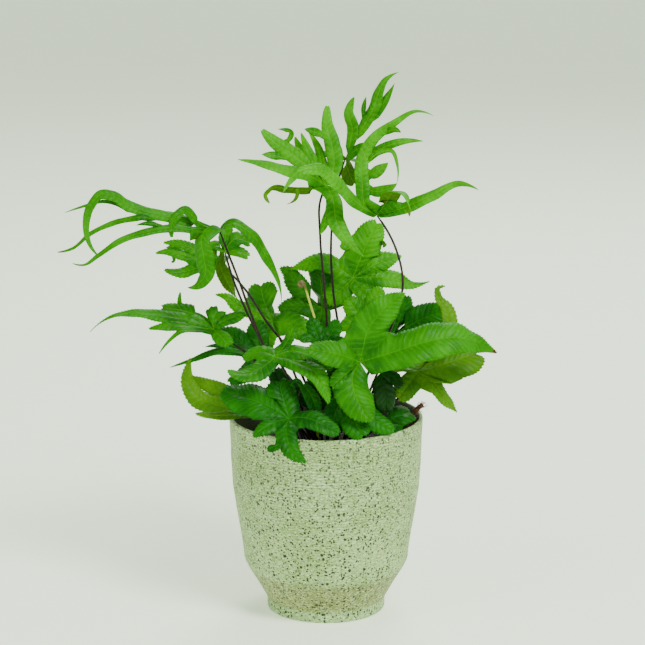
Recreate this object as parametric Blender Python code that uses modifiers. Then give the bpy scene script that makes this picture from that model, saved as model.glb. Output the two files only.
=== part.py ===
"""A hand fern in a speckled pot.

Millimetres below, metres in the model. +Z is up, the origin is the middle of the pot's underside,
and the fern's front is towards -Y. Each leaf has a wiry stem and a blade: one thin sheet whose
lobes meet where the stem ends. Every blade is closed by a Solidify modifier.
"""

import math

import bpy
import numpy as np

MM = 0.001

# Pot
RIM_RADIUS = 65.0
POT_HEIGHT = 134.0
WALL = 3.0
FLOOR_TOP = 7.0
FOOT_RADIUS = 40.0
FOOT_BAND = 6.0
CHAMFER_BOTTOM = 9.0
CHAMFER_TOP = 31.0
SHOULDER = 36.0
POT_STEPS = 64

# Soil
SOIL_TOP = 116.0
SOIL_GAP = 0.35

# Fern
BLADE_THICKNESS = 0.5
STEM_RADIUS_FOOT = 1.0
STEM_RADIUS_TIP = 0.7
STEM_CLEARANCE = 0.95
STEM_START = SOIL_TOP + 0.9
STEM_RINGS = 9
WEB_ROWS = 1
LOBE_ROWS = 5
HALF_COLUMNS = 1
CURVE_SAMPLES = 14
HOLD = 0.2  # how strongly a lobe that bends keeps facing the way its blade faces

# Where the eye is that the front of the plant is laid out for
EYE = np.array((-2.4, -1626.0, 580.0))


# Collections and materials


def clear_scene():
    for obj in list(bpy.data.objects):
        bpy.data.objects.remove(obj, do_unlink=True)


def new_collection(name):
    collection = bpy.data.collections.new(name)
    bpy.context.scene.collection.children.link(collection)
    return collection


def plain_material(name, colour, roughness):
    material = bpy.data.materials.new(name)
    material.use_nodes = True
    shader = material.node_tree.nodes["Principled BSDF"]
    shader.inputs["Base Color"].default_value = (*colour, 1.0)
    shader.inputs["Roughness"].default_value = roughness
    shader.inputs["Metallic"].default_value = 0.0
    return material


def glazed_pot_material():
    return plain_material("pale_green_glaze", (0.52, 0.60, 0.45), 0.55)


def soil_material():
    return plain_material("dark_soil", (0.035, 0.025, 0.018), 0.95)


def leaf_material():
    return plain_material("leaf_green", (0.10, 0.42, 0.02), 0.45)


def stem_material():
    return plain_material("stem_brown", (0.05, 0.035, 0.018), 0.5)


def young_material():
    return plain_material("young_stem", (0.42, 0.48, 0.08), 0.5)


def dry_material():
    return plain_material("dry_brown", (0.16, 0.07, 0.03), 0.85)


# Smooth curves through chosen points


def unit(vectors):
    vectors = np.asarray(vectors, float)
    size = np.linalg.norm(vectors, axis=-1, keepdims=True)
    return vectors / np.maximum(size, 1e-9)


def smooth_curve(points, samples):
    """A curve that passes smoothly through every point, with this many samples to a span."""
    points = np.asarray(points, float)
    steps = np.linalg.norm(np.diff(points, axis=0), axis=1)
    if len(points) == 2:
        shares = np.linspace(0, 1, samples + 1)[:, None]
        return points[0] + (points[1] - points[0]) * shares
    slopes = np.diff(points, axis=0) / steps[:, None]
    tangents = np.empty_like(points)
    mix = (steps[:-1] / (steps[:-1] + steps[1:]))[:, None]
    tangents[1:-1] = slopes[:-1] * (1 - mix) + slopes[1:] * mix
    tangents[0] = 2 * slopes[0] - tangents[1]
    tangents[-1] = 2 * slopes[-1] - tangents[-2]
    u = np.linspace(0, 1, samples + 1)[:-1, None]
    rows = []
    for i, step in enumerate(steps):
        rows.append(
            (2 * u**3 - 3 * u**2 + 1) * points[i]
            + (u**3 - 2 * u**2 + u) * step * tangents[i]
            + (3 * u**2 - 2 * u**3) * points[i + 1]
            + (u**3 - u**2) * step * tangents[i + 1]
        )
    return np.concatenate([*rows, points[-1:]])


def lengths_along(curve):
    steps = np.linalg.norm(np.diff(curve, axis=0), axis=1)
    return np.concatenate([[0], np.cumsum(steps)])


def pick(lengths, values, wanted):
    return np.stack(
        [np.interp(wanted, lengths, values[:, axis]) for axis in range(3)], axis=-1
    )


# One lobe: its midrib, the way it faces and its width


def lobe(path, width, peak=0.4, taper=1.0, base=0.35, face=None, droop=0.12, sides=(), lean=0):
    """A lobe whose midrib passes through path. width is its half width at the widest place.

    lean is how much further back the tip is than path says.
    """
    return {
        "path": path,
        "width": width,
        "peak": peak,
        "taper": taper,
        "base": base,
        "face": face,
        "droop": droop,
        "sides": sides,
        "lean": lean,
    }


def side(share, hand, path, width, span=2.5, peak=0.3, taper=1.0, droop=0.1, sides=()):
    """A side lobe that leaves a lobe's right (+1) or left (-1) edge at this share of its length."""
    made = lobe(path, width, peak, taper, 0.6, None, droop, sides)
    made.update(share=share, hand=hand, span=span)
    return made


class Midrib:
    """The midrib of one lobe, with its direction and the way the blade faces at every sample."""

    def __init__(self, start, shape, face):
        self.shape = shape
        self.curve = smooth_curve([start, *shape["path"]], CURVE_SAMPLES)
        self.lengths = lengths_along(self.curve)
        self.length = self.lengths[-1]
        self.tangents = unit(np.gradient(self.curve, axis=0))
        own = unit(shape["face"] or face)
        facing, faces = own, []
        for tangent in self.tangents:
            facing = unit(facing + HOLD * own)
            facing = unit(facing - tangent * (facing @ tangent))
            faces.append(facing)
        self.faces = np.array(faces)

    def at(self, share):
        wanted = share * self.length
        tangent = unit(pick(self.lengths, self.tangents, wanted))
        facing = unit(pick(self.lengths, self.faces, wanted))
        return pick(self.lengths, self.curve, wanted), tangent, facing

    def width(self, share):
        shape = self.shape
        if share < shape["peak"]:
            rise = math.sin(math.pi / 2 * share / shape["peak"])
            part = shape["base"] + (1 - shape["base"]) * rise
        else:
            past = (share - shape["peak"]) / (1 - shape["peak"])
            part = max(math.cos(math.pi / 2 * past), 0.0) ** shape["taper"]
        return shape["width"] * part

    def edge(self, share, hand):
        """The margin point of the side vein that leaves the midrib here."""
        point, tangent, facing = self.at(share)
        right = np.cross(tangent, facing)
        angle = math.radians(72 - 34 * share)
        out = self.width(share)
        along = tangent * math.cos(angle) + right * (math.sin(angle) * hand)
        return point + along * out - facing * (self.shape["droop"] * out)


# One blade: its lobes are rows of points that share their edges near the stem


class Sheet:
    def __init__(self):
        self.points = []
        self.faces = []

    def add(self, point):
        self.points.append(tuple(point))
        return len(self.points) - 1

    def strip(self, before, after):
        """Faces between two rows of point numbers, each running from the left to the right."""
        for left in range(len(before) - 1):
            ring = [before[left], before[left + 1], after[left + 1], after[left]]
            kept = [n for i, n in enumerate(ring) if n != ring[i - 1]]
            if len(set(kept)) >= 3:
                self.faces.append(kept)


def stations(rib, first):
    """Shares of the length that get a row: even ones, and three for every side lobe."""
    shares = list(np.linspace(first, 1, LOBE_ROWS + 1))
    needed = []
    for shape in rib.shape["sides"]:
        half = shape["span"] / rib.length
        low = max(shape["share"] - half, first)
        needed += [low, low + half, low + 2 * half]
    kept = [s for s in shares if all(abs(s - n) > 0.045 for n in needed)]
    if needed and first not in kept:
        kept.append(first)
        needed = [n for n in needed if abs(n - first) > 1e-6]
    return sorted(set([*kept, *needed, 1.0]))


def row_between(sheet, left, middle, right):
    """The numbers of the points of a row, from the left edge over the midrib to the right."""
    centre = sheet.points[middle]
    row = []
    for edge, columns in ((left, range(HALF_COLUMNS, 0, -1)), (right, None)):
        if columns is None:
            columns = range(1, HALF_COLUMNS + 1)
            row.append(middle)
        for column in columns:
            share = column / HALF_COLUMNS
            if column == HALF_COLUMNS:
                row.append(edge)
                continue
            end = np.array(sheet.points[edge])
            row.append(sheet.add(np.array(centre) + (end - centre) * share))
    return row


def grow_side(sheet, shares, edges, shape, hand, parent):
    """A side lobe on the part of its parent's edge that lies about its own share."""
    half = shape["span"] / parent.length
    low = min(shares, key=lambda s: abs(s - (shape["share"] - half)))
    start = shares.index(low)
    numbers = edges[start : start + 3]
    if len(numbers) < 3:
        return
    if hand > 0:
        numbers = numbers[::-1]
    root = np.array(sheet.points[numbers[1]])
    _, _, facing = parent.at(shape["share"])
    rib = Midrib(root, shape, tuple(facing))
    shares = stations(rib, 0.0)
    grow_rows(sheet, rib, shares, [numbers], 0)


def grow_rows(sheet, rib, shares, rows, done):
    """The rows of a lobe after those already made, then its side lobes."""
    lefts = [row[0] for row in rows]
    rights = [row[-1] for row in rows]
    for share in shares[done + 1 :]:
        point, _, _ = rib.at(share)
        middle = sheet.add(point)
        if share == shares[-1]:
            row = [middle] * (2 * HALF_COLUMNS + 1)
        else:
            left = sheet.add(rib.edge(share, -1))
            right = sheet.add(rib.edge(share, 1))
            row = row_between(sheet, left, middle, right)
        sheet.strip(rows[-1], row)
        rows.append(row)
        lefts.append(row[0])
        rights.append(row[-1])
    for shape in rib.shape["sides"]:
        edges = rights if shape["hand"] > 0 else lefts
        grow_side(sheet, shares, edges, shape, shape["hand"], rib)


def in_order(ribs, face):
    """The lobes clockwise about the blade's face, beginning after the widest gap."""
    face = unit(face)
    first = unit(np.cross(face, (0.3, 0.9, 0.31)))
    second = np.cross(face, first)
    angles = []
    for rib in ribs:
        away = rib.at(min(0.3, 14 / rib.length))[0] - rib.curve[0]
        angles.append(math.atan2(away @ second, away @ first))
    order = sorted(range(len(ribs)), key=lambda i: -angles[i])
    gaps = [
        (angles[order[i - 1]] - angles[order[i]]) % (2 * math.pi)
        for i in range(len(order))
    ]
    start = gaps.index(max(gaps))
    order = order[start:] + order[:start]
    return [ribs[i] for i in order]


def reach_of_web(left, right):
    """How far from the stem the sheet between two lobes reaches."""
    ways = [rib.at(min(0.3, 14 / rib.length))[0] - rib.curve[0] for rib in (left, right)]
    cosine = float(unit(ways[0]) @ unit(ways[1]))
    angle = math.acos(max(-1.0, min(1.0, cosine)))
    width = (left.shape["width"] + right.shape["width"]) / 2
    shorter = min(left.length, right.length)
    wanted = 0.85 * width / max(math.tan(angle / 2), 0.2)
    return min(max(wanted, 0.14 * shorter), 0.42 * shorter)


def grow_blade(hub, face, lobes):
    """The points and faces of one blade, as a sheet without thickness."""
    ribs = in_order([Midrib(hub, shape, face) for shape in lobes], face)
    sheet = Sheet()
    centre = sheet.add(hub)
    reaches = [reach_of_web(a, b) for a, b in zip(ribs, ribs[1:])]
    webs = []
    for left, right, reach in zip(ribs, ribs[1:], reaches):
        a = left.edge(reach / left.length, 1)
        b = right.edge(reach / right.length, -1)
        middle = (a + b) / 2
        webs.append([sheet.add(np.array(hub) + (middle - hub) * (row + 1) / WEB_ROWS)
                     for row in range(WEB_ROWS)])
    for i, rib in enumerate(ribs):
        near = [reaches[n] for n in (i - 1, i) if 0 <= n < len(reaches)]
        first = float(np.mean(near)) / rib.length if near else 0.25
        shares = [first * row / WEB_ROWS for row in range(WEB_ROWS)]
        shares += stations(rib, first)
        rows = [[centre] * (2 * HALF_COLUMNS + 1)]
        for row in range(1, WEB_ROWS + 1):
            share = shares[row]
            middle = sheet.add(rib.at(share)[0])
            left = webs[i - 1][row - 1] if i > 0 else sheet.add(rib.edge(share, -1))
            right = webs[i][row - 1] if i < len(webs) else sheet.add(rib.edge(share, 1))
            line = row_between(sheet, left, middle, right)
            sheet.strip(rows[-1], line)
            rows.append(line)
        grow_rows(sheet, rib, shares, rows, WEB_ROWS)
    return sheet


# Leaves. Every point is in millimetres from the middle of the pot's underside.

LEAVES = {
    "tall_front": {
        "back": -14,
        "stem": [(12, -6, 0), (20, -20, 150), (34, -27, 183), (44, -23, 203),
                 (50.5, -15, 228), (46, -5, 249), (33.5, 4, 269.5)],
        "face": (0.2, -0.75, 0.6),
        "lobes": [
            lobe([(50, 0, 275), (70, -4, 284.5), (88, -8, 293), (100, -10, 289)], 5.2, 0.3, 0.8, lean=-12),
            lobe([(39, -1, 278), (44, -6, 287), (51, -12, 286), (54.5, -14, 272)], 8.0, 0.36, 0.9,
                 face=(-0.4, 0.85, 0.3), lean=-12),
            lobe([(26.5, 5, 275.5), (24, 8, 289.5), (24, 11, 305), (30, 12, 317.5),
                  (45, 12, 330), (60, 11, 338), (71, 9, 335)], 5.3, 0.25, 1.0, 0.6,
                 face=(0, -1, 0.15), sides=(
                side(0.18, 1, [(36, 4, 286), (47, 2, 291.5)], 4.4, 4.6),
                side(0.28, 1, [(34, 6, 299), (41, 4, 305)], 4.6, 4.4),
                side(0.375, 1, [(35, 8, 311), (43, 5, 312.5), (47, 3, 303), (46.5, 2, 291)],
                     2.0, 2.6, 0.1, 0.9),
                side(0.45, 1, [(38, 9, 314.5), (50, 7, 318.5), (64, 5, 319)], 3.2, 3.4, 0.3, 0.8),
                side(0.62, 1, [(45, 10, 326), (49.5, 9, 324)], 2.6, 2.8),
            ), lean=14),
            lobe([(20, -2, 279), (8, -9, 293), (-4, -13, 303), (-16, -15, 302.5),
                  (-25, -17, 294), (-28, -18, 289)], 6.2, 0.42, 0.8, lean=-16),
        ],
    },
    "tall_middle": {
        "back": 0,
        "stem": [(1, 0, 0), (1, -4, 160), (1, -5, 190), (-1.5, -4, 225), (-4, -2, 258),
                 (-4, 3, 279), (0, 0, 290)],
        "face": (-0.25, -0.75, 0.6),
        "lobes": [
            lobe([(5.5, 4, 303), (4, 8, 316), (0.8, 10, 329), (0.8, 10, 341.5)], 6.5, 0.4, 0.45, sides=(
                side(0.62, -1, [(-8, 8, 325), (-14.5, 6, 327)], 3.2, 3.4),
            ), lean=12),
            lobe([(-12, -2, 297.5), (-25, -4, 301), (-42, -6, 306), (-58, -8, 309)],
                 5.0, 0.35, 0.8, lean=-16),
            lobe([(-10, 2, 301), (-22, 4, 310.5), (-33, 5, 318), (-42, 4, 326.5)], 6.8, 0.5, 0.5,
                 sides=(
                side(0.55, -1, [(-34, 2, 310), (-42.5, 0, 311)], 3.2, 3.4),
                side(0.62, 1, [(-23, 6, 324), (-32, 5, 327)], 2.2, 2.6),
            ), lean=10),
            lobe([(-9, 5, 301), (-16, 8, 311), (-20.5, 10, 321)], 4.6, 0.45, 0.6, lean=18),
            lobe([(-7, 6, 302), (-12, 10, 312), (-16.5, 12, 323.5)], 4.4, 0.4, 0.7),
            lobe([(-3, 8, 305), (-5.5, 11, 314), (-11.5, 13, 324)], 4.0, 0.4, 0.7, lean=16),
            lobe([(-12, -4, 288), (-25, -6, 289), (-35, -8, 290), (-39.5, -8, 286),
                  (-37, -9, 280)], 4.8, 0.4, 0.7, face=(0, 0.7, 0.7), sides=(
                side(0.38, -1, [(-20, -8, 283), (-26, -9, 279.5)], 1.4, 2.2),
            )),
            lobe([(4.5, -5, 282), (6, -7, 270), (13, -9, 257), (25, -12, 245)], 6.8, 0.35, 1.0,
                 face=(0.1, -1, 0.2), sides=(
                side(0.33, 1, [(-1, -9, 267), (-4, -10, 259.5)], 2.8, 3.6),
            ), lean=-12),
        ],
    },
    "tall_back": {
        "back": 20,
        "stem": [(6, 8, 0), (8, 6, 165), (8.5, 6, 190), (5, 8, 215), (3.2, 8, 245),
                 (4.5, 9, 270), (9, 11, 295), (13, 12, 307)],
        "face": (-0.3, -0.8, 0.5),
        "lobes": [
            lobe([(16, 13, 316), (17.5, 13, 326), (15, 12, 337), (18.5, 10, 347.5)],
                 5.0, 0.5, 0.7, sides=(
                side(0.34, 1, [(26, 13, 330), (31.5, 12, 340), (34.5, 11, 350), (39, 9, 359),
                               (48, 6, 364.5)], 5.0, 3.6, 0.35, 1.1, sides=(
                    side(0.20, -1, [(25, 12, 342), (26.5, 11, 348)], 2.2, 2.4),
                    side(0.26, 1, [(37.5, 11, 343), (41.5, 10, 350), (45, 8, 357)], 3.4, 3.0),
                )),
            ), lean=14),
            lobe([(20, 12, 312), (27, 11, 316)], 4.2, 0.5, 0.6),
            lobe([(13.5, 8, 303), (15.5, 5, 297), (18.5, 4, 291)], 8.0, 0.5, 0.6,
                 face=(0.4, 0.8, 0.4)),
            lobe([(8, 12, 312), (3, 12, 320)], 3.6, 0.5, 0.7),
            lobe([(14, 20, 304), (18, 30, 303), (24, 38, 297)], 4.6, 0.5, 0.8,
                 face=(0, -0.3, 0.95)),
            lobe([(6, 20, 306), (0, 32, 308), (-4, 42, 304)], 4.6, 0.5, 0.8,
                 face=(0, -0.3, 0.95)),
        ],
    },
    "left_arching": {
        "back": -14,
        "stem": [(-8, -2, 0), (-26, -4, 150), (-40, -5, 179), (-50, -5, 205), (-58, -5, 228),
                 (-64, -5, 244), (-70, -5, 260.5)],
        "face": (-0.2, -0.5, 0.85),
        "lobes": [
            lobe([(-62, -9, 267), (-49.5, -11, 260), (-39, -11, 244), (-31, -10, 226),
                  (-29.5, -9, 211)], 5.4, 0.3, 1.6, 0.7, lean=12),
            lobe([(-75, -11, 266), (-81, -15, 259), (-80, -18, 245), (-79, -19, 236),
                  (-83, -20, 229), (-91, -20, 226)], 7.8, 0.5, 0.8, droop=0.25),
            lobe([(-85, -7, 265), (-100, -8, 270), (-118, -9, 274.5), (-130, -9, 279),
                  (-138, -10, 284.5), (-147, -10, 286), (-154, -11, 279), (-157.5, -12, 266),
                  (-155.5, -13, 254), (-149, -13, 245)], 4.8, 0.48, 0.7, 0.75, face=(0, -0.75, 0.65), sides=(
                side(0.34, -1, [(-122, -13, 271.5), (-129, -14, 270)], 2.6, 3.2),
                side(0.46, -1, [(-146, -7, 281), (-158, -6, 278), (-172, -5, 273)], 1.5, 2.4,
                     0.3, 0.6),
            ), lean=-14),
            lobe([(-86, -2, 266), (-103, 4, 270), (-125, 10, 267), (-142, 14, 262.5),
                  (-158, 16, 254.5), (-170, 17, 244.5), (-180, 17, 242)], 3.0, 0.35, 0.45,
                 face=(0, -0.75, 0.65)),
            lobe([(-86, -9, 262), (-100, -11, 264), (-116, -12, 262), (-135, -13, 256),
                  (-150, -14, 246), (-159, -14, 240), (-167, -14, 241)], 3.4, 0.35, 0.6,
                 face=(0, -0.75, 0.65), sides=(
                side(0.38, 1, [(-116, -11, 267), (-125, -10, 265.5)], 2.2, 3.2),
            ), lean=-26),
            lobe([(-84, -11, 268), (-92, -14, 276), (-98, -18, 273), (-101, -19, 259.5)],
                 3.9, 0.6, 0.45, face=(0, -0.8, 0.6)),
        ],
    },
    "left_lower": {
        "back": 16,
        "stem": [(-5, 5, 0), (-14, 5, 155), (-26, 4, 179), (-40, 3, 198), (-55, 3, 221),
                 (-66, 3, 232), (-75, 3, 235)],
        "face": (-0.1, -0.7, 0.7),
        "lobes": [
            lobe([(-86, 2, 234), (-96, 0, 232), (-107, -2, 234)], 5.0, 0.5, 0.7),
            lobe([(-86, 4, 240), (-96, 4, 243), (-104, 4, 245), (-113, 4, 244)], 4.9, 0.4,
                 0.7, sides=(side(0.62, -1, [(-101, 3, 239.5), (-103, 3, 238)], 1.6, 2.4),)),
            lobe([(-84, 6, 243.5), (-93, 7, 248.5), (-108, 7, 250.5)], 4.6, 0.45, 0.7, sides=(
                side(0.6, -1, [(-101, 6, 248), (-107, 6, 247)], 1.8, 2.4),
            )),
            lobe([(-76, 8, 243), (-79, 14, 250)], 4.6, 0.5, 0.7),
            lobe([(-70, 12, 238), (-70, 24, 238), (-76, 34, 235)], 5.0, 0.5, 0.8,
                 face=(0, -0.2, 0.95)),
        ],
    },
    "left_small": {
        "back": 4,
        "stem": [(-10, 5, 0), (-27, 2, 150), (-41, 0, 180), (-52, 0, 203), (-60, 1, 222),
                 (-65, 0, 238), (-67, 2, 245)],
        "face": (0.2, -0.5, 0.8),
        "lobes": [
            lobe([(-60, 6, 253), (-51, 8, 250)], 6.6, 0.5, 0.6),
            lobe([(-60, 1, 246), (-52, 0, 243)], 6.0, 0.5, 0.6),
            lobe([(-67, 6, 254), (-64, 10, 262)], 5.2, 0.5, 0.7),
            lobe([(-71, 9, 237), (-66, 12, 223), (-57, 13, 207)], 5.4, 0.4, 1.0),
            lobe([(-73, 4, 249), (-76, 2, 241)], 6.4, 0.5, 0.6),
        ],
    },
    "long_left": {
        "back": 0,
        "stem": [(-8, 10, 0), (-30, 8, 150), (-55, 4, 177), (-68, 1, 187), (-75, 0, 193)],
        "face": (-0.1, -0.6, 0.8),
        "lobes": [
            lobe([(-92, -1, 199.5), (-110, -2, 203), (-128, -3, 205), (-142, -4, 203),
                  (-157, -5, 192.5)], 6.0, 0.3, 1.7, 0.6, lean=-14),
            lobe([(-85, 6, 200.5), (-97, 10, 204), (-109.5, 12, 205)], 7.4, 0.55, 0.5, 0.6),
            lobe([(-85, 10, 200), (-96.5, 16, 202), (-98, 18, 214.5)], 2.6, 0.6, 0.6),
            lobe([(-75, 3, 200), (-72, 6, 204)], 7.6, 0.55, 0.5, 0.6),
            lobe([(-69, 3, 197.5), (-62, 5, 200), (-54, 6, 202.5)], 5.6, 0.5, 0.6, 0.6),
            lobe([(-86, -7, 196), (-100, -12, 198.5), (-117, -15, 197)], 5.4, 0.5, 0.7, 0.6),
            lobe([(-84, -5, 193.5), (-96, -9, 194), (-104, -11, 188), (-111, -12, 179)],
                 2.4, 0.35, 0.8, lean=-14),
            lobe([(-70, -8, 190), (-64, -14, 186)], 6.4, 0.5, 0.6, 0.6),
        ],
    },
    "shade_left": {
        "back": 14,
        "stem": [(-13, -12, 0), (-28, -8, 150), (-44, -2, 174)],
        "face": (-0.2, -0.6, 0.75),
        "lobes": [
            lobe([(-53, 2, 181), (-62, 6, 186), (-72, 9, 189)], 9.5, 0.5, 0.6, 0.7),
            lobe([(-56, -5, 178), (-72, -6, 179.5), (-88, -8, 174.5), (-104, -9, 169)],
                 3.6, 0.35, 0.9, sides=(
                side(0.36, 1, [(-76, -5, 183), (-81, -5, 182)], 2.0, 3.2),
            )),
            lobe([(-46, 8, 185), (-47, 16, 194)], 9.0, 0.5, 0.6, 0.7),
            lobe([(-50, -6, 168), (-58, -9, 162.5), (-64, -11, 159.5)], 7.6, 0.5, 0.6, 0.7),
        ],
    },
    "round_back": {
        "back": 22,
        "stem": [(-6, 14, 0), (-22, 16, 160), (-36, 16, 194)],
        "face": (-0.4, -0.65, 0.65),
        "lobes": [
            lobe([(-39, 20, 201), (-42, 23, 208), (-44, 25, 217)], 13.5, 0.5, 0.7, 0.7),
            lobe([(-48, 14, 201), (-60, 12, 207), (-66, 12, 212), (-74, 12, 214)], 5.8, 0.4,
                 0.9, 0.6),
            lobe([(-28, 8, 196), (-20, 3, 194), (-13, 1, 190)], 10.4, 0.5, 0.5, 0.7),
            lobe([(-40, 6, 187), (-42, 2, 179)], 9.0, 0.5, 0.6, 0.7),
            lobe([(-34, 26, 196), (-36, 38, 195)], 9.0, 0.5, 0.6, 0.7, face=(0, -0.2, 0.95)),
        ],
    },
    "back_left": {
        "back": 24,
        "stem": [(0, 14, 0), (-2, 21, 170), (-3, 20, 203)],
        "face": (-0.35, -0.7, 0.6),
        "lobes": [
            lobe([(-12, 19, 205), (-21, 18, 205), (-32, 17, 203)], 8.0, 0.5, 0.8, 0.6),
            lobe([(-13, 22, 211), (-20, 24, 219), (-25, 25, 226), (-31, 25, 229.5)],
                 8.4, 0.45, 0.9, 0.6),
            lobe([(-3, 25, 213), (-4, 28, 221), (-9, 29, 229)], 9.6, 0.5, 0.8, 0.6),
            lobe([(6, 22, 208), (15, 22, 213)], 8.0, 0.5, 0.7, 0.6),
            lobe([(-4, 11, 197), (-7, 4, 189)], 8.6, 0.5, 0.7, 0.7),
            lobe([(-6, 30, 203), (-12, 41, 200)], 7.0, 0.5, 0.7, 0.6, face=(0, -0.2, 0.95)),
        ],
    },
    "back_middle": {
        "back": 16,
        "stem": [(10, 16, 0), (14, 28, 170), (15, 38, 206), (18, 32, 221)],
        "face": (0.25, -0.75, 0.6),
        "lobes": [
            lobe([(22, 34, 231), (27, 36, 243), (34.5, 38, 257.5)], 12.8, 0.45, 0.6, 0.8, sides=(
                side(0.45, -1, [(14, 35, 243), (10, 34, 244)], 4.0, 4.0, 0.5, 0.6),
                side(0.55, 1, [(38, 35, 244), (40, 34, 245)], 3.0, 3.8, 0.5, 0.6),
            )),
            lobe([(32, 29, 222.5), (46, 27, 221.5), (59, 25, 218), (70, 23, 221)],
                 8.2, 0.32, 1.5, 0.7, lean=14),
            lobe([(30, 32, 229), (40, 33, 233.5), (51, 33, 236)], 8.2, 0.45, 1.0, 0.6, lean=10),
            lobe([(8, 33, 228), (-2, 34, 232), (-12, 33, 230.5), (-25, 32, 227)],
                 8.0, 0.4, 1.2, 0.6),
            lobe([(9, 27, 213), (1, 24, 208)], 9.4, 0.5, 0.6, 0.7),
            lobe([(27, 27, 213), (36, 24, 206)], 9.4, 0.5, 0.6, 0.7),
        ],
    },
    "ruffled_middle": {
        "back": 8,
        "stem": [(14, 4, 0), (20, 3, 160), (26, 2, 197)],
        "face": (0, -0.75, 0.65),
        "lobes": [
            lobe([(31, 5, 208), (36, 7, 220)], 8.0, 0.45, 0.8, 0.7),
            lobe([(20, 5, 205), (15, 7, 213)], 8.0, 0.45, 0.8, 0.7),
            lobe([(18, 0, 198), (13, -2, 192)], 6.6, 0.5, 0.7, 0.7),
            lobe([(36, 2, 203), (44, 2, 211)], 6.6, 0.5, 0.7, 0.7),
        ],
    },
    "back_right": {
        "back": 24,
        "stem": [(16, 10, 0), (34, 6, 160), (44, 4, 187)],
        "face": (0.5, -0.65, 0.6),
        "lobes": [
            lobe([(50, 8, 200), (54, 11, 213)], 9.0, 0.5, 0.7, 0.6),
            lobe([(57, 5, 195), (67, 5, 200), (77, 4, 205)], 12.0, 0.5, 0.55, 0.6),
            lobe([(37, 9, 200), (35, 12, 209), (38, 13, 216)], 8.6, 0.45, 0.8, 0.7),
            lobe([(30, 8, 193), (20, 9, 201)], 7.4, 0.5, 0.8, 0.6),
            lobe([(48, 14, 187), (52, 25, 184)], 8.0, 0.5, 0.7, 0.6, face=(0, -0.2, 0.95)),
        ],
    },
    "right_low": {
        "back": -2,
        "stem": [(18, -4, 0), (40, -12, 142), (55, -15, 156), (61, -17, 168)],
        "face": (0.45, -0.5, 0.75),
        "lobes": [
            lobe([(73, -14, 171), (86, -11, 174), (100, -8, 178)], 16.0, 0.5, 0.45, 0.75),
            lobe([(70, -21, 162), (78, -24, 153), (86.5, -26, 143)], 7.8, 0.4, 1.1, 0.6),
            lobe([(70, -4, 179), (82, 0, 194), (81, 2, 206), (75.5, 3, 214), (74.5, 3, 219.5),
                  (79, 3, 222)], 7.4, 0.42, 0.9,
                 face=(0.4, -0.85, 0.4), lean=16),
            lobe([(54, -22, 160), (48, -24, 152)], 8.6, 0.5, 0.7, 0.6),
            lobe([(52, -12, 170), (42, -10, 167)], 8.4, 0.5, 0.7, 0.6),
            lobe([(66, -4, 170), (72, 10, 168), (80, 22, 163)], 8.0, 0.5, 0.8, 0.6,
                 face=(0.1, -0.2, 0.95)),
        ],
    },
    "front_right": {
        "back": -4,
        "stem": [(6, -14, 0), (12, -30, 150), (19, -38, 170), (22, -42, 181)],
        "face": (0.1, -0.75, 0.66),
        "lobes": [
            lobe([(11, -45, 186), (0, -47, 189), (-11, -48, 191)], 10.6, 0.45, 0.75, 0.7, lean=-8),
            lobe([(24, -41, 190), (27, -40, 201.5), (35, -39, 213), (51, -37, 226)],
                 12.8, 0.42, 1.0, 0.7),
            lobe([(44, -47, 189), (63, -50, 196), (83, -49, 199), (98, -46, 195),
                  (111, -43, 187.5)], 15.0, 0.45, 1.0, 0.7, lean=10),
            lobe([(17, -49, 171), (20, -53, 159), (30, -57, 146)], 14.0, 0.35, 0.85, 0.7),
            lobe([(11, -48, 173), (4, -52, 167)], 7.4, 0.5, 0.8, 0.6),
        ],
    },
    "front_left": {
        "back": -6,
        "stem": [(-4, -16, 0), (-18, -26, 150), (-28, -32, 174), (-33.5, -34, 182.5)],
        "face": (-0.05, -0.5, 0.85),
        "lobes": [
            lobe([(-18, -42, 180), (-7, -47, 175), (-1, -51, 165), (1.5, -54, 156.5)],
                 8.4, 0.42, 0.9, 0.6),
            lobe([(-22, -32, 186), (-10, -33, 183), (4, -36, 174)], 8.0, 0.5, 0.9, 0.6),
            lobe([(-44, -42, 176), (-55, -47, 174), (-64, -49, 177)], 9.0, 0.4, 0.9, 0.6),
            lobe([(-42, -27, 184), (-54, -24, 180)], 8.2, 0.5, 0.7, 0.6),
            lobe([(-26, -25, 190), (-22, -21, 197), (-19, -19, 202)], 4.2, 0.5, 0.8),
        ],
    },
    "over_rim": {
        "back": -3,
        "stem": [(-8, -22, 0), (-16, -36, 134), (-24, -50, 145)],
        "face": (0, -0.6, 0.8),
        "lobes": [
            lobe([(-39, -46, 153), (-54, -41, 157), (-68, -36, 160)], 15.6, 0.42, 0.75, 0.75),
            lobe([(-36, -59, 143.5), (-47, -65, 137)], 6.2, 0.5, 0.9, 0.6),
            lobe([(-26, -63, 140), (-22, -73, 130), (-13, -78, 123.5)], 7.8, 0.4, 0.9, sides=(
                side(0.45, 1, [(-31, -73, 134), (-38, -74, 131)], 4.4, 4.0, 0.4, 0.8),
            )),
            lobe([(-12, -56, 147), (0, -60, 143), (8, -62, 138.5)], 8.6, 0.5, 0.7, 0.6),
            lobe([(-28, -42, 156), (-31, -36, 166)], 12.0, 0.5, 0.7, 0.7),
        ],
    },
    "left_rim": {
        "back": 0,
        "stem": [(-18, -10, 0), (-36, -18, 132), (-47, -22, 139)],
        "face": (-0.4, -0.6, 0.7),
        "lobes": [
            lobe([(-58, -22, 143), (-70, -22, 146), (-84, -21, 151), (-91, -20, 161),
                  (-89.5, -19, 178)], 8.0, 0.45, 0.9, 0.6, lean=14),
            lobe([(-60, -29, 142), (-72, -32, 142.5), (-86, -34, 144)], 4.6, 0.5, 0.7),
            lobe([(-58, -10, 147), (-75, -4, 154), (-97, 2, 160)], 6.4, 0.5, 0.8),
        ],
    },
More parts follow.
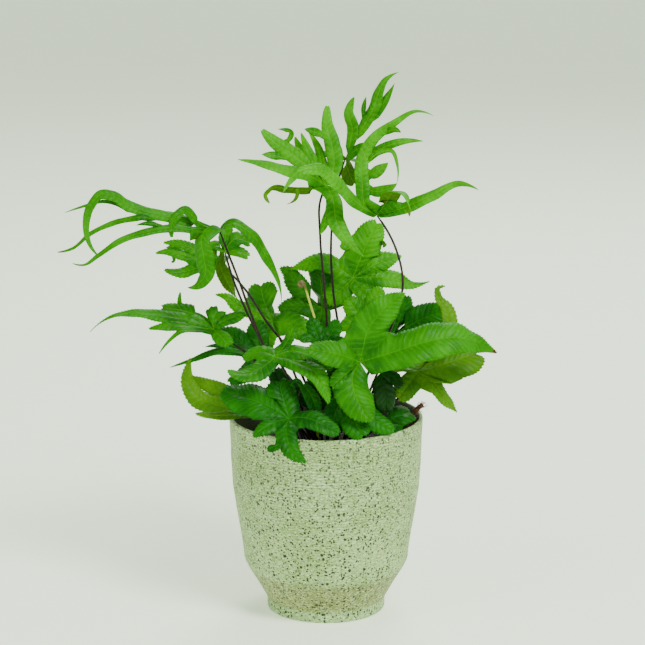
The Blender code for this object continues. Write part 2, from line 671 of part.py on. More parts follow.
    "deep_left": {
        "back": 0,
        "stem": [(-14, -15, 0), (-23, -10, 138), (-29, -18, 153)],
        "face": (0, -0.95, 0.3),
        "lobes": [
            lobe([(-37, -17, 150), (-44, -16, 149)], 8.4, 0.5, 0.7, 0.7),
            lobe([(-30, -22, 145), (-30, -24, 136)], 8.6, 0.5, 0.7, 0.7),
            lobe([(-20, -18, 153), (-11, -18, 150)], 8.6, 0.5, 0.7, 0.7),
            lobe([(-31, -16, 162), (-34, -15, 168)], 7.4, 0.5, 0.7, 0.7),
        ],
    },
    "deep_middle": {
        "back": 0,
        "stem": [(7, -8, 0), (8, -6, 144), (6, -14, 162)],
        "face": (0, -0.95, 0.3),
        "lobes": [
            lobe([(4, -16, 153), (3, -17, 142)], 9.0, 0.5, 0.7, 0.7),
            lobe([(13, -15, 158), (17, -16, 150)], 7.6, 0.5, 0.7, 0.7),
            lobe([(-3, -15, 160), (-12, -15, 154)], 8.0, 0.5, 0.7, 0.7),
            lobe([(7, -13, 170), (9, -12, 177)], 7.6, 0.5, 0.7, 0.7),
            lobe([(14, -13, 166), (20, -13, 171)], 6.4, 0.5, 0.7, 0.7),
        ],
    },
    "shade_right": {
        "back": 0,
        "stem": [(14, -12, 0), (28, -26, 150), (35, -34, 171)],
        "face": (0.3, -0.8, 0.5),
        "lobes": [
            lobe([(38, -36, 161), (39, -36, 147)], 9.4, 0.5, 0.6, 0.7),
            lobe([(43, -34, 169), (49, -35, 163)], 5.4, 0.5, 0.7, 0.6),
        ],
    },
    "low_middle": {
        "back": -2,
        "stem": [(6, -20, 0), (11, -32, 142), (14, -39, 158)],
        "face": (0.05, -0.75, 0.65),
        "lobes": [
            lobe([(17, -47, 149), (20, -54, 141), (24, -58, 136)], 11.0, 0.5, 0.7, 0.7),
            lobe([(26, -45, 147), (37, -48, 140), (44, -49, 137)], 8.8, 0.5, 0.7, 0.7),
            lobe([(7, -44, 150), (4, -49, 140)], 8.6, 0.5, 0.7, 0.7),
        ],
    },
    "right_rim": {
        "back": 0,
        "stem": [(20, -6, 0), (32, -17, 128), (40, -24, 135)],
        "face": (0.3, -0.5, 0.8),
        "lobes": [
            lobe([(48, -22, 139), (56, -14, 139.5)], 9.2, 0.5, 0.6, 0.7),
            lobe([(44, -30, 134), (48, -34, 130)], 7.0, 0.5, 0.7, 0.7),
            lobe([(35, -26, 139), (31, -27, 145)], 7.0, 0.5, 0.7, 0.7),
        ],
    },
    "folded": {
        "back": 0,
        "stem": [(-14, -24, 0), (-21, -36, 142), (-18, -40, 157), (-15.5, -42, 166)],
        "face": (0.3, -0.7, 0.6),
        "lobes": [
            lobe([(-10, -45, 159), (-6, -48, 147)], 6.0, 0.5, 0.8, 0.6),
            lobe([(-20, -40, 168), (-23, -40, 164)], 2.6, 0.5, 0.8),
        ],
    },
    "small_middle": {
        "back": 0,
        "stem": [(-2, -14, 0), (-5, -22, 150), (-4, -18, 175), (-3, -16, 186)],
        "face": (0, -0.7, 0.7),
        "lobes": [
            lobe([(-7, -12, 195), (-10, -10, 203)], 6.0, 0.5, 0.9, 0.6),
            lobe([(4, -12, 194), (7, -10, 202)], 6.0, 0.5, 0.9, 0.6),
            lobe([(-9, -17, 191), (-17, -20, 190)], 4.6, 0.5, 0.8),
            lobe([(5, -18, 189), (13, -21, 190)], 4.6, 0.5, 0.8),
        ],
    },
}

CROZIER_STEM = [(-6, -2, 0), (-5, -6, 160), (-7, -8, 200), (-11, -9, 214), (-14.5, -10, 226)]
CROZIER_COIL = 2.6
CROZIER_TURNS = 1.25
STUB = [(50, -6, 117), (58, -4, 130), (61, -4, 139), (64.5, -5, 142)]


# The pieces


def link(collection, name, data, material):
    obj = bpy.data.objects.new(name, data)
    data.materials.append(material)
    collection.objects.link(obj)
    return obj


def turned(collection, name, profile, material):
    """A profile of (radius, height) pairs, from top to bottom on the outside, turned about Z."""
    mesh = bpy.data.meshes.new(name)
    points = [(radius * MM, 0, height * MM) for radius, height in profile]
    edges = [(i, i + 1) for i in range(len(points) - 1)]
    mesh.from_pydata(points, edges, [])
    obj = link(collection, name, mesh, material)
    screw = obj.modifiers.new("turn", "SCREW")
    screw.steps = POT_STEPS
    screw.render_steps = POT_STEPS
    screw.use_merge_vertices = True
    screw.merge_threshold = 0.00001
    screw.use_smooth_shade = True
    return obj


def outer_profile():
    """The pot's outside, from the lip down to the foot."""
    return [
        (RIM_RADIUS - 0.9, POT_HEIGHT),
        (RIM_RADIUS, POT_HEIGHT - 1.0),
        (RIM_RADIUS - 0.6, POT_HEIGHT - 14),
        (64.0, 104),
        (62.9, 86),
        (60.6, 70),
        (57.9, 54),
        (56.2, 42),
        (55.8, SHOULDER),
        (53.6, CHAMFER_TOP),
        (47.0, 20),
        (FOOT_RADIUS + 0.6, CHAMFER_BOTTOM),
        (FOOT_RADIUS, FOOT_BAND),
        (FOOT_RADIUS, 0.8),
        (FOOT_RADIUS - 0.8, 0),
    ]


def inner_profile():
    """The pot's inside, from the floor up to the lip."""
    return [
        (0, FLOOR_TOP),
        (36.0, FLOOR_TOP),
        (39.0, FLOOR_TOP + 3),
        (44.0, 20),
        (51.0, CHAMFER_TOP + 1),
        (52.8, SHOULDER + 1),
        (53.2, 42),
        (55.0, 54),
        (57.7, 70),
        (59.9, 86),
        (61.0, 104),
        (RIM_RADIUS - WALL - 0.4, POT_HEIGHT - 14),
        (RIM_RADIUS - WALL, POT_HEIGHT - 1.0),
        (RIM_RADIUS - WALL + 0.9, POT_HEIGHT),
    ]


def make_pot(collection):
    """One closed profile: the floor and the inside up to the lip, then the outside down."""
    profile = inner_profile() + outer_profile() + [(0, 0)]
    return turned(collection, "pot", profile, glazed_pot_material())


def make_soil(collection):
    """The soil fills the pot to below the lip, a little higher in the middle."""
    wall = [(r - SOIL_GAP, z) for r, z in inner_profile() if FLOOR_TOP + 1 < z < SOIL_TOP]
    top_radius = np.interp(SOIL_TOP, [104, POT_HEIGHT - 14], [61.0, RIM_RADIUS - WALL - 0.4])
    profile = [(0, SOIL_TOP), (20, SOIL_TOP), (40, SOIL_TOP - 0.3), (54, SOIL_TOP - 1.0)]
    profile += [(top_radius - SOIL_GAP, SOIL_TOP - 1.6)]
    profile += wall[::-1]
    profile += [(35.5, FLOOR_TOP + SOIL_GAP), (0, FLOOR_TOP + SOIL_GAP)]
    return turned(collection, "soil", profile, soil_material())


def make_tube(collection, name, points, radii, material):
    """A round tube through these points, closed at both ends."""
    curve = bpy.data.curves.new(name, "CURVE")
    curve.dimensions = "3D"
    curve.bevel_depth = MM
    curve.bevel_resolution = 1
    curve.use_fill_caps = True
    spline = curve.splines.new("POLY")
    spline.points.add(len(points) - 1)
    for knot, point, radius in zip(spline.points, points, radii):
        knot.co = (point[0] * MM, point[1] * MM, point[2] * MM, 1)
        knot.radius = radius
    return link(collection, name, curve, material)


def resampled(points, count, cut=0.0):
    """Evenly spaced points along the smooth curve, stopping this far short of its end."""
    curve = smooth_curve(points, CURVE_SAMPLES)
    lengths = lengths_along(curve)
    return pick(lengths, curve, np.linspace(0, lengths[-1] - cut, count))


def make_stem(collection, name, path, material):
    """A stem that stands on the soil and stops just under its blade."""
    foot = (path[0][0], path[0][1], STEM_START)
    points = resampled([foot, *path[1:]], STEM_RINGS, STEM_CLEARANCE)
    radii = np.linspace(STEM_RADIUS_FOOT, STEM_RADIUS_TIP, STEM_RINGS)
    return make_tube(collection, name + "_stem", points, radii, material)


def make_blade(collection, name, hub, face, lobes, material):
    sheet = grow_blade(np.array(hub, float), face, lobes)
    mesh = bpy.data.meshes.new(name + "_blade")
    mesh.from_pydata([tuple(np.array(p) * MM) for p in sheet.points], [], sheet.faces)
    mesh.update()
    obj = link(collection, name + "_blade", mesh, material)
    thick = obj.modifiers.new("thickness", "SOLIDIFY")
    thick.thickness = BLADE_THICKNESS * MM
    thick.offset = 0.0
    return obj


def set_back(point, distance):
    """The point moved straight away from the eye, so that from the front it stays in its place."""
    point = np.array(point, float)
    sight = point - EYE
    return tuple(point + sight * (distance / sight[1]))


def lobe_set_back(shape, distance):
    moved, lean, path = dict(shape), shape["lean"], shape["path"]
    steps = [distance + lean * (n + 1) / len(path) for n in range(len(path))]
    moved["path"] = [set_back(point, step) for point, step in zip(path, steps)]
    moved["sides"] = [
        lobe_set_back(small, distance + lean * small["share"]) for small in shape["sides"]
    ]
    return moved


def stem_set_back(path, distance):
    """The stem leans back more and more. Its foot stays where it is."""
    rise = path[-1][2] - STEM_START
    shares = [max(0.0, (point[2] - STEM_START) / rise) for point in path]
    return [set_back(point, distance * share) for point, share in zip(path, shares)]


def make_leaf(collection, name, leaf, materials):
    stem = stem_set_back(leaf["stem"], leaf["back"])
    lobes = [lobe_set_back(shape, leaf["back"]) for shape in leaf["lobes"]]
    make_stem(collection, name, stem, materials["stem"])
    make_blade(collection, name, stem[-1], leaf["face"], lobes, materials["leaf"])


def make_crozier(collection):
    """The young leaf: a thin stem that ends in a small coil."""
    foot = (*CROZIER_STEM[0][:2], STEM_START)
    rise = resampled([foot, *CROZIER_STEM[1:]], STEM_RINGS)
    top = rise[-1]
    coil = []
    for step in range(1, 15):
        turn = CROZIER_TURNS * 2 * math.pi * step / 14
        radius = CROZIER_COIL * (1 - 0.62 * step / 14)
        coil.append(top + np.array([-CROZIER_COIL + radius * math.cos(turn), -0.09 * step,
                                    radius * math.sin(turn)]))
    points = [*rise, *coil]
    radii = [*np.linspace(0.9, 0.75, len(rise)), *np.linspace(0.75, 0.6, len(coil))]
    return make_tube(collection, "crozier", points, radii, young_material())


def make_stub(collection):
    points = resampled(STUB, 5)
    return make_tube(collection, "dry_stub", points, [1.6, 1.5, 1.5, 1.3, 0.8], dry_material())


def build():
    clear_scene()
    collection = new_collection("potted_fern")
    materials = {"leaf": leaf_material(), "stem": stem_material()}
    make_pot(collection)
    make_soil(collection)
    for name, leaf in LEAVES.items():
        make_leaf(collection, name, leaf, materials)
    make_crozier(collection)
    make_stub(collection)


build()
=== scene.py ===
# %% [markdown]
# # A hand fern in a speckled pot
# This file gives a potted fern its looks. The imported model already holds the true sizes: a thrown
# pot, the soil, and for each leaf a thin wiry stem and one flat blade. Here every piece is made
# again with the detail the eye expects, such as teeth along the leaf edges, veins, throwing rings
# and specks in the glaze, and each new piece hides the plain piece of the model that it stands for.
# Sizes are typed in millimetres, because that is how a gardener or a potter would measure them.

# %% Load the model and count its pieces
import math

import bpy
import numpy as np
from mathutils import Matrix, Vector, noise


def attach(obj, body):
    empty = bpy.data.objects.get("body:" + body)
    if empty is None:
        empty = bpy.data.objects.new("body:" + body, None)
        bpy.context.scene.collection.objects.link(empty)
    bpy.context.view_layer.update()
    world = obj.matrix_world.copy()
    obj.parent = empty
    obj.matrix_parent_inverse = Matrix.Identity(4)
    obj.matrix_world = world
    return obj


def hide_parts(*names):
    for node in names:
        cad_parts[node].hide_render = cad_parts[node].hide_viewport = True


MM = 0.001
CM = 0.1  # centimetres in a millimetre: the map coordinates of the leaves are in centimetres
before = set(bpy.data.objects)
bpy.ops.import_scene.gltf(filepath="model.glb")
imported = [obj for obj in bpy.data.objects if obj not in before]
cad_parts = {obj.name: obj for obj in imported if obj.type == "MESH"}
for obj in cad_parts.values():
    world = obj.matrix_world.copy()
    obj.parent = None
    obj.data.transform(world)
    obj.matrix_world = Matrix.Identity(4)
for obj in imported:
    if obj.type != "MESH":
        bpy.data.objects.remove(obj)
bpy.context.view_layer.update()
print("pieces in the model:", len(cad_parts))

# %% [markdown]
# ## Writing a finish as sums
# A finish in Blender is a graph of nodes, and a graph with many sums is hard to read. The small
# class below wraps one output of a node. Its operators add Math nodes, so 1 - mask is written
# just like that. Colours go through Mix nodes instead, because a Math node turns them grey.

# %% A wire that can be added and multiplied
class Wire:
    """One output of a node in a finish."""

    def __init__(self, finish, socket):
        self.finish = finish
        self.socket = socket

    def sum(self, operation, *others):
        values = {number: other for number, other in enumerate([self, *others])}
        return self.finish.node("ShaderNodeMath", {"operation": operation}, values)[0]

    def __add__(self, other):
        return self.sum("ADD", other)

    def __mul__(self, other):
        return self.sum("MULTIPLY", other)

    def __sub__(self, other):
        return self.sum("SUBTRACT", other)

    def __rsub__(self, other):
        return self * -1 + other

    def __truediv__(self, other):
        return self.sum("DIVIDE", other)

    __radd__ = __add__
    __rmul__ = __mul__

    def size(self):
        return self.sum("ABSOLUTE")

    def part(self):
        return self.sum("FRACT")

    def highest(self, other):
        return self.sum("MAXIMUM", other)

    def rise(self, low, high):
        """A soft step: 0 below low, 1 above high."""
        settings = {"interpolation_type": "SMOOTHSTEP"}
        values = {"Value": self, "From Min": low, "From Max": high}
        return self.finish.node("ShaderNodeMapRange", settings, values)[0]

    def fall(self, low, high):
        return 1 - self.rise(low, high)


# %% A finish that adds its own nodes
class Finish:
    """A material and short ways to add nodes to it."""

    def __init__(self, name):
        self.material = bpy.data.materials.new(name)
        self.material.use_nodes = True
        self.tree = self.material.node_tree
        self.tree.nodes.clear()
        self.count = 0

    def node(self, kind, settings=None, values=None):
        """Adds a node: its settings first, then numbers or wires on its inputs."""
        made = self.tree.nodes.new(kind)
        self.count += 1
        made.location = (220 * (self.count // 6), -260 * (self.count % 6))
        for setting, value in (settings or {}).items():
            setattr(made, setting, value)
        for socket, value in (values or {}).items():
            if isinstance(value, Wire):
                self.tree.links.new(value.socket, made.inputs[socket])
            else:
                made.inputs[socket].default_value = value
        shown = [socket for socket in made.outputs if socket.enabled]
        return [Wire(self, socket) for socket in shown]

    def mix(self, share, first, second):
        """Blends two colours. share 0 gives the first and 1 the second."""
        ends = [(*c, 1.0) if isinstance(c, tuple) else c for c in (first, second)]
        values = {0: share, 6: ends[0], 7: ends[1]}
        return self.node("ShaderNodeMix", {"data_type": "RGBA"}, values)[0]

    def place(self):
        """Where a point is on the object, in millimetres."""
        point = self.node("ShaderNodeTexCoord")[3]
        settings = {"operation": "SCALE"}
        return self.node("ShaderNodeVectorMath", settings, {"Vector": point, "Scale": 1000})[0]

    def split(self, vector):
        return self.node("ShaderNodeSeparateXYZ", None, {"Vector": vector})

    def cloud(self, place, size, detail=3.0):
        """Soft random patches this many millimetres across."""
        values = {"Vector": place, "Scale": 1 / size, "Detail": detail}
        return self.node("ShaderNodeTexNoise", None, values)[0]

    def bump(self, height, depth, strength=1.0):
        """Light and shade of a relief this many millimetres deep."""
        values = {"Height": height, "Distance": depth * MM, "Strength": strength}
        return self.node("ShaderNodeBump", None, values)[0]

    def surface(self, colour, **values):
        """The Principled shader. An underscore in a name stands for a space."""
        inputs = {name.replace("_", " "): value for name, value in values.items()}
        inputs["Base Color"] = (*colour, 1.0) if isinstance(colour, tuple) else colour
        return self.node("ShaderNodeBsdfPrincipled", None, inputs)[0]

    def done(self, shader):
        self.node("ShaderNodeOutputMaterial", None, {"Surface": shader})
        print("finish", self.material.name, "has", len(self.tree.nodes), "nodes")
        return self.material


# %% [markdown]
# ## The glaze
# The pot has a pale sage green glaze, matt rather than shiny, with olive-black specks of many
# sizes and pale crumbs between them. Painting each speck by hand would take days. A Voronoi
# pattern scatters one point in each cell of a grid, so a speck is a small disc about that point,
# and the cell's random number decides its size and whether it is there at all.

# %% Specks, one to a cell
def specks(finish, place, cell, share, smallest, largest):
    """Discs scattered about one to a cell: share of the cells have one."""
    values = {"Vector": place, "Scale": 1 / cell, "Randomness": 1.0}
    distance, chance = finish.node("ShaderNodeTexVoronoi", None, values)[:2]
    odds, spread, shade = finish.split(chance)
    radius = (spread * spread * (largest - smallest) + smallest) / cell
    disc = (distance / radius).fall(0.65, 1.1)
    return disc * odds.fall(share - 0.01, share + 0.01) * (shade * 0.5 + 0.5)


# %% The tones of the glaze
RING_PITCH = 1.95
SAGE, PALE_SAGE = (0.24, 0.37, 0.11), (0.33, 0.48, 0.18)
BARE_OLIVE = (0.22, 0.23, 0.06)
FOOT_GREEN = (0.30, 0.46, 0.20)
GROOVE_GREEN = (0.11, 0.17, 0.05)
SPECK_BLACK = (0.016, 0.022, 0.012)


def glaze_tones(finish, place, height):
    """The plain colours: the wall, the browner chamfer, the foot and the throwing rings."""
    patches = finish.cloud(place, 24).rise(0.3, 0.7)
    colour = finish.mix(patches, SAGE, PALE_SAGE)
    chamfer = height.rise(6.5, 9) * height.fall(28, 33)
    colour = finish.mix(chamfer * 0.8, colour, BARE_OLIVE)
    foot = height.fall(5.5, 7.5)
    colour = finish.mix(foot * 0.6, colour, FOOT_GREEN)
    thrown = ((height + finish.cloud(place, 9) * 1.6) / RING_PITCH).part()
    groove = (thrown - 0.5).size().fall(0.08, 0.30) * height.rise(50, 82)
    return finish.mix(groove * 0.42, colour, GROOVE_GREEN)


# %% The speckled glaze
def speckled_glaze():
    finish = Finish("speckled_sage_glaze")
    place = finish.place()
    x, y, height = finish.split(place)
    colour = glaze_tones(finish, place, height)
    values = {0: place, 1: (0.5, 0.5, 1.6)}
    drawn = finish.node("ShaderNodeVectorMath", {"operation": "MULTIPLY"}, values)[0]
    grain = finish.cloud(drawn, 0.9, 4.0)
    colour = finish.mix(grain.rise(0.50, 0.64) * 0.7, colour, (0.09, 0.14, 0.04))
    colour = finish.mix(grain.fall(0.36, 0.48) * 0.75, colour, (0.56, 0.70, 0.40))
    fine = specks(finish, place, 1.0, 0.55, 0.14, 0.36)
    colour = finish.mix(fine * 0.85, colour, (0.06, 0.08, 0.03))
    bold = specks(finish, place, 1.6, 0.72, 0.32, 0.95)
    large = specks(finish, place, 3.6, 0.60, 0.60, 1.30)
    dark = bold.highest(large)
    fainter = 1 - height.rise(70, 115) * 0.12
    colour = finish.mix(dark.rise(0.05, 0.40) * fainter, colour, SPECK_BLACK)
    # painted shade: the inner wall under the lip is painted almost black, as the shade that the
    # leaves cast inside the pot
    from_axis = (x * x + y * y).sum("SQRT")
    inside = from_axis.fall(62.7, 63.3) * height.rise(96, 104)
    colour = finish.mix(inside * 0.93, colour, (0.012, 0.014, 0.008))
    normal = finish.bump(grain * 0.6 - dark * 0.4, 0.2, 0.7)
    shader = finish.surface(colour, Roughness=0.60 - dark * 0.2, Normal=normal,
                            Specular_IOR_Level=0.3)
    return finish.done(shader)


glaze = speckled_glaze()

# %% [markdown]
# ## The leaves
# A fern leaf is thin, so some of the light that falls on the back comes out in front, which is
# what makes it glow. A little Translucent shader mixed in does that. Each blade is laid out so
# that its map coordinates say how far a point is along the midrib and how far out from it. The
# side veins then need no drawing: they are stripes at even steps along the midrib.

# %% Green leaf, upper and lower side
VEIN_STEP = 3.6
THROUGH = 0.25  # the share of the light that a leaf lets through


def green_leaf(name, deep, fresh, vein, gloss=0.42, spots=()):
    """spots are (point, radius, colour): the brown or yellow places on old leaves."""
    finish = Finish(name)
    along, out, _ = finish.split(finish.node("ShaderNodeUVMap", {"uv_map": "veins"})[0])
    place = finish.place()
    wander = finish.cloud(place, 7, 1.0) - 0.5
    step = ((along / CM + wander * 2.2) / VEIN_STEP).part()
    from_rib = out.size() / CM
    side_vein = (step - 0.5).size().fall(0.02, 0.16) * finish.cloud(place, 6).rise(0.3, 0.6)
    rib = from_rib.fall(0.12, 0.45)
    patches = finish.cloud(place, 14).rise(0.32, 0.68)
    towards_tip = along.rise(0.2, 5.0)
    colour = finish.mix(patches * 0.55 + towards_tip * 0.45, deep, fresh)
    quilt_and_shade = (step - 0.5).size().rise(0.1, 0.5) * from_rib.rise(0.4, 2.0)
    # painted shade of the puckered blade: a little darker between the side veins; the same mask
    # also raises the bump
    colour = finish.mix(quilt_and_shade * 0.16, colour, deep)
    colour = finish.mix(side_vein * 0.20 + rib * 0.45, colour, vein)
    for point, radius, brown in spots:
        values = {0: place, 1: point}
        far = finish.node("ShaderNodeVectorMath", {"operation": "DISTANCE"}, values)[0]
        ragged = far + finish.cloud(place, 1.6) * radius
        colour = finish.mix(ragged.fall(radius * 0.9, radius * 1.5), colour, brown)
    skin = finish.cloud(place, 0.5, 2.0) * 0.12
    relief = quilt_and_shade * 0.8 - rib * 0.9 + skin
    normal = finish.bump(relief, 0.35, 0.7)
    shader = finish.surface(colour, Roughness=gloss, Normal=normal, Specular_IOR_Level=0.12)
    through = finish.node("ShaderNodeBsdfTranslucent", None, {"Color": colour})[0]
    values = {0: THROUGH, 1: shader, 2: through}
    return finish.done(finish.node("ShaderNodeMixShader", None, values)[0])


# %% Five tones of leaf
# Each tone has the upper side and then the underside: the deep green, the fresh green, the veins.
LEAF_TONES = {
    "fresh": (((0.010, 0.15, 0.0002), (0.075, 0.41, 0.0004), (0.14, 0.48, 0.002)),
              ((0.035, 0.13, 0.0004), (0.09, 0.24, 0.001), (0.15, 0.36, 0.004))),
    "full": (((0.005, 0.10, 0.0002), (0.038, 0.28, 0.0004), (0.09, 0.37, 0.002)),
             ((0.035, 0.15, 0.0004), (0.07, 0.22, 0.001), (0.11, 0.28, 0.003))),
    "olive": (((0.03, 0.14, 0.0002), (0.09, 0.26, 0.0004), (0.14, 0.33, 0.002)),
              ((0.05, 0.14, 0.0004), (0.09, 0.20, 0.001), (0.13, 0.26, 0.003))),
    # painted shade: the shade and deep tones are darker copies of the same greens, for leaves that
    # stand in shadow in the bush and low in the pot
    "shade": (((0.002, 0.06, 0.0002), (0.012, 0.19, 0.0004), (0.03, 0.27, 0.002)),
              ((0.015, 0.08, 0.0004), (0.03, 0.13, 0.001), (0.06, 0.18, 0.003))),
    "deep": (((0.001, 0.03, 0.0002), (0.004, 0.07, 0.0004), (0.01, 0.10, 0.001)),
             ((0.004, 0.03, 0.0004), (0.008, 0.05, 0.001), (0.015, 0.07, 0.002))),
}
BROWN_TIP = (0.10, 0.025, 0.01)
YELLOW_SPOT = (0.45, 0.42, 0.03)
OLD_SPOTS = {
    "full": [((110.5, -37, 186.5), 3.4, BROWN_TIP)],
    "shade": [((-19, -69, 124), 2.4, YELLOW_SPOT), ((24, -58, 134), 2.6, YELLOW_SPOT)],
}
leaf_finishes = {}
for tone, (upper, under) in LEAF_TONES.items():
    leaf_finishes[tone] = (
        green_leaf(tone + "_leaf", *upper, spots=OLD_SPOTS.get(tone, ())),
        green_leaf(tone + "_leaf_underside", *under, gloss=0.6),
    )

# %% [markdown]
# ## Stems, soil and the dry stub
# The stems are as thin and shiny as black wire, a little redder where they are young. The soil
# is painted almost black: its own dark brown with painted shade from the pot and the leaves.
# The dry stub is what is left of an old leaf.

# %% Their finishes
def wiry_stem():
    finish = Finish("wiry_brown_stem")
    place = finish.place()
    streaks = finish.cloud(place, 3.0).rise(0.35, 0.7)
    colour = finish.mix(streaks, (0.005, 0.003, 0.002), (0.022, 0.009, 0.005))
    normal = finish.bump(finish.cloud(place, 0.6), 0.05, 0.5)
    return finish.done(finish.surface(colour, Roughness=0.45, Normal=normal,
                                      Specular_IOR_Level=0.2))


def soil_and_painted_shade():
    finish = Finish("soil_and_painted_shade")
    place = finish.place()
    crumbs = finish.cloud(place, 2.2, 6.0)
    # painted shade: the soil is darker than its own brown, as the shade of the pot and the leaves
    colour = finish.mix(crumbs.rise(0.4, 0.7), (0.004, 0.003, 0.002), (0.03, 0.02, 0.012))
    normal = finish.bump(crumbs, 1.2)
    return finish.done(finish.surface(colour, Roughness=0.95, Normal=normal))


def young_growth():
    """Yellow-green at the stem, brown and downy at the rolled tip."""
    finish = Finish("young_growth")
    place = finish.place()
    height = finish.split(place)[2]
    patches = finish.cloud(place, 4).rise(0.3, 0.7)
    colour = finish.mix(patches, (0.30, 0.42, 0.03), (0.50, 0.52, 0.06))
    down = finish.cloud(place, 0.8).rise(0.3, 0.6)
    tip = finish.mix(down, (0.035, 0.018, 0.004), (0.12, 0.09, 0.015))
    colour = finish.mix(height.rise(219, 224), colour, tip)
    normal = finish.bump(down, 0.15, 0.7)
    return finish.done(finish.surface(colour, Roughness=0.55, Normal=normal))


def dry_husk():
    finish = Finish("dry_husk")
    place = finish.place()
    fibres = finish.cloud(place, 0.9, 5.0)
    colour = finish.mix(fibres.rise(0.35, 0.65), (0.03, 0.008, 0.004), (0.16, 0.06, 0.03))
    normal = finish.bump(fibres, 0.3)
    return finish.done(finish.surface(colour, Roughness=0.85, Normal=normal))


stem_finish = wiry_stem()
soil_finish = soil_and_painted_shade()
young_finish = young_growth()
husk_finish = dry_husk()

# %% [markdown]
# ## Smooth lines
# A stem or the midrib of a lobe is a smooth bend through a few chosen points. The same curve as
# in the model is used, so that the new pieces lie exactly where the plain ones are.

# %% Curves through points
def unit(vectors):
    vectors = np.asarray(vectors, float)
    size = np.linalg.norm(vectors, axis=-1, keepdims=True)
    return vectors / np.maximum(size, 1e-9)


def smooth_curve(points, samples=14):
    """A curve through every point, with this many samples to a span."""
    points = np.asarray(points, float)
    steps = np.linalg.norm(np.diff(points, axis=0), axis=1)
    if len(points) == 2:
        shares = np.linspace(0, 1, samples + 1)[:, None]
        return points[0] + (points[1] - points[0]) * shares
    slopes = np.diff(points, axis=0) / steps[:, None]
    tangents = np.empty_like(points)
    mix = (steps[:-1] / (steps[:-1] + steps[1:]))[:, None]
    tangents[1:-1] = slopes[:-1] * (1 - mix) + slopes[1:] * mix
    tangents[0] = 2 * slopes[0] - tangents[1]
    tangents[-1] = 2 * slopes[-1] - tangents[-2]
    u = np.linspace(0, 1, samples + 1)[:-1, None]
    rows = []
    for i, step in enumerate(steps):
        rows.append((2 * u**3 - 3 * u**2 + 1) * points[i]
                    + (u**3 - 2 * u**2 + u) * step * tangents[i]
                    + (3 * u**2 - 2 * u**3) * points[i + 1]
                    + (u**3 - u**2) * step * tangents[i + 1])
    return np.concatenate([*rows, points[-1:]])


def lengths_along(curve):
    steps = np.linalg.norm(np.diff(curve, axis=0), axis=1)
    return np.concatenate([[0], np.cumsum(steps)])


def pick(lengths, values, wanted):
    found = [np.interp(wanted, lengths, values[:, axis]) for axis in range(3)]
    return np.stack(found, axis=-1)


# %% [markdown]
# ## One lobe
# Each finger of a leaf has a midrib, a way it faces and a width that grows and then tapers to a
# point. The facing is carried along the midrib without twisting, which keeps the sheet smooth
# where the lobe bends over or curls.

# %% The lobes and their side lobes, as they are written down
def lobe(path, width, peak=0.4, taper=1.0, base=0.35, face=None, droop=0.12, sides=(), lean=0):
    """A lobe whose midrib passes through path. width is its half width at the widest place.

    lean is how much further back the tip is than path says.
    """
    return {"path": path, "width": width, "peak": peak, "taper": taper, "base": base,
            "face": face, "droop": droop, "sides": sides, "lean": lean}


def side(share, hand, path, width, span=2.5, peak=0.3, taper=1.0, droop=0.1, sides=()):
    """A side lobe that leaves a lobe's right (+1) or left (-1) edge at this share of it."""
    made = lobe(path, width, peak, taper, 0.6, None, droop, sides)
    made.update(share=share, hand=hand, span=span)
    return made


# %% The midrib of a lobe
TOOTH_PITCH = 2.4
ROW_STEP = TOOTH_PITCH / 3
TOOTH = (0.0, 0.55, 1.0)
HOLD = 0.2  # how strongly a bent lobe keeps facing the way its blade faces


class Midrib:
    """The midrib of one lobe, with its direction and the way the blade faces."""

    def __init__(self, start, shape, face, tooth):
        self.shape = shape
        self.tooth = min(tooth, 0.10 * shape["width"])
        self.seed = sum(abs(c) for c in shape["path"][-1])
        self.curve = smooth_curve([start, *shape["path"]])
        self.lengths = lengths_along(self.curve)
        self.length = self.lengths[-1]
        self.tangents = unit(np.gradient(self.curve, axis=0))
        own = unit(shape["face"] or face)
        facing, faces = own, []
        for tangent in self.tangents:
            facing = unit(facing + HOLD * own)
            facing = unit(facing - tangent * (facing @ tangent))
            faces.append(facing)
        self.faces = np.array(faces)

    def at(self, share):
        wanted = share * self.length
        tangent = unit(pick(self.lengths, self.tangents, wanted))
        facing = unit(pick(self.lengths, self.faces, wanted))
        return pick(self.lengths, self.curve, wanted), tangent, facing

    def sets_out(self):
        """The way from the stem to a point a little way along the midrib."""
        return self.at(min(0.3, 14 / self.length))[0] - self.curve[0]

    def width(self, share):
        shape = self.shape
        if share < shape["peak"]:
            rise = math.sin(math.pi / 2 * share / shape["peak"])
            part = shape["base"] + (1 - shape["base"]) * rise
        else:
            past = (share - shape["peak"]) / (1 - shape["peak"])
            part = max(math.cos(math.pi / 2 * past), 0.0) ** shape["taper"]
        return shape["width"] * part

    def edge(self, share, hand, bite=0.0):
        """The margin point of the side vein that leaves the midrib here."""
        point, tangent, facing = self.at(share)
        right = np.cross(tangent, facing)
        angle = math.radians(72 - 34 * share)
        out = self.width(share)
        wave = math.sin(share * self.length / 2.9 + self.seed + 1.9 * hand)
        way = tangent * math.cos(angle) + right * (math.sin(angle) * hand)
        tip = self.tooth * bite * (way + 0.5 * tangent)
        lift = 0.07 * out * wave - self.shape["droop"] * out
        return point + way * out + tip + facing * lift


# %% [markdown]
# ## One blade
# A blade could be cut from a flat plate, but then it would not bend like a leaf. It is laid out
# instead as rows of points from the left edge over the midrib to the right edge. Near the stem,
# neighbouring lobes share their edge, which makes the web between two fingers. Each third row
# reaches a little further out, and that gives the saw-toothed margin.

# %% A sheet of points and faces
COLUMNS = (0.07, 0.22, 0.42, 0.63, 0.83, 1.0)
WEB_ROWS = 9


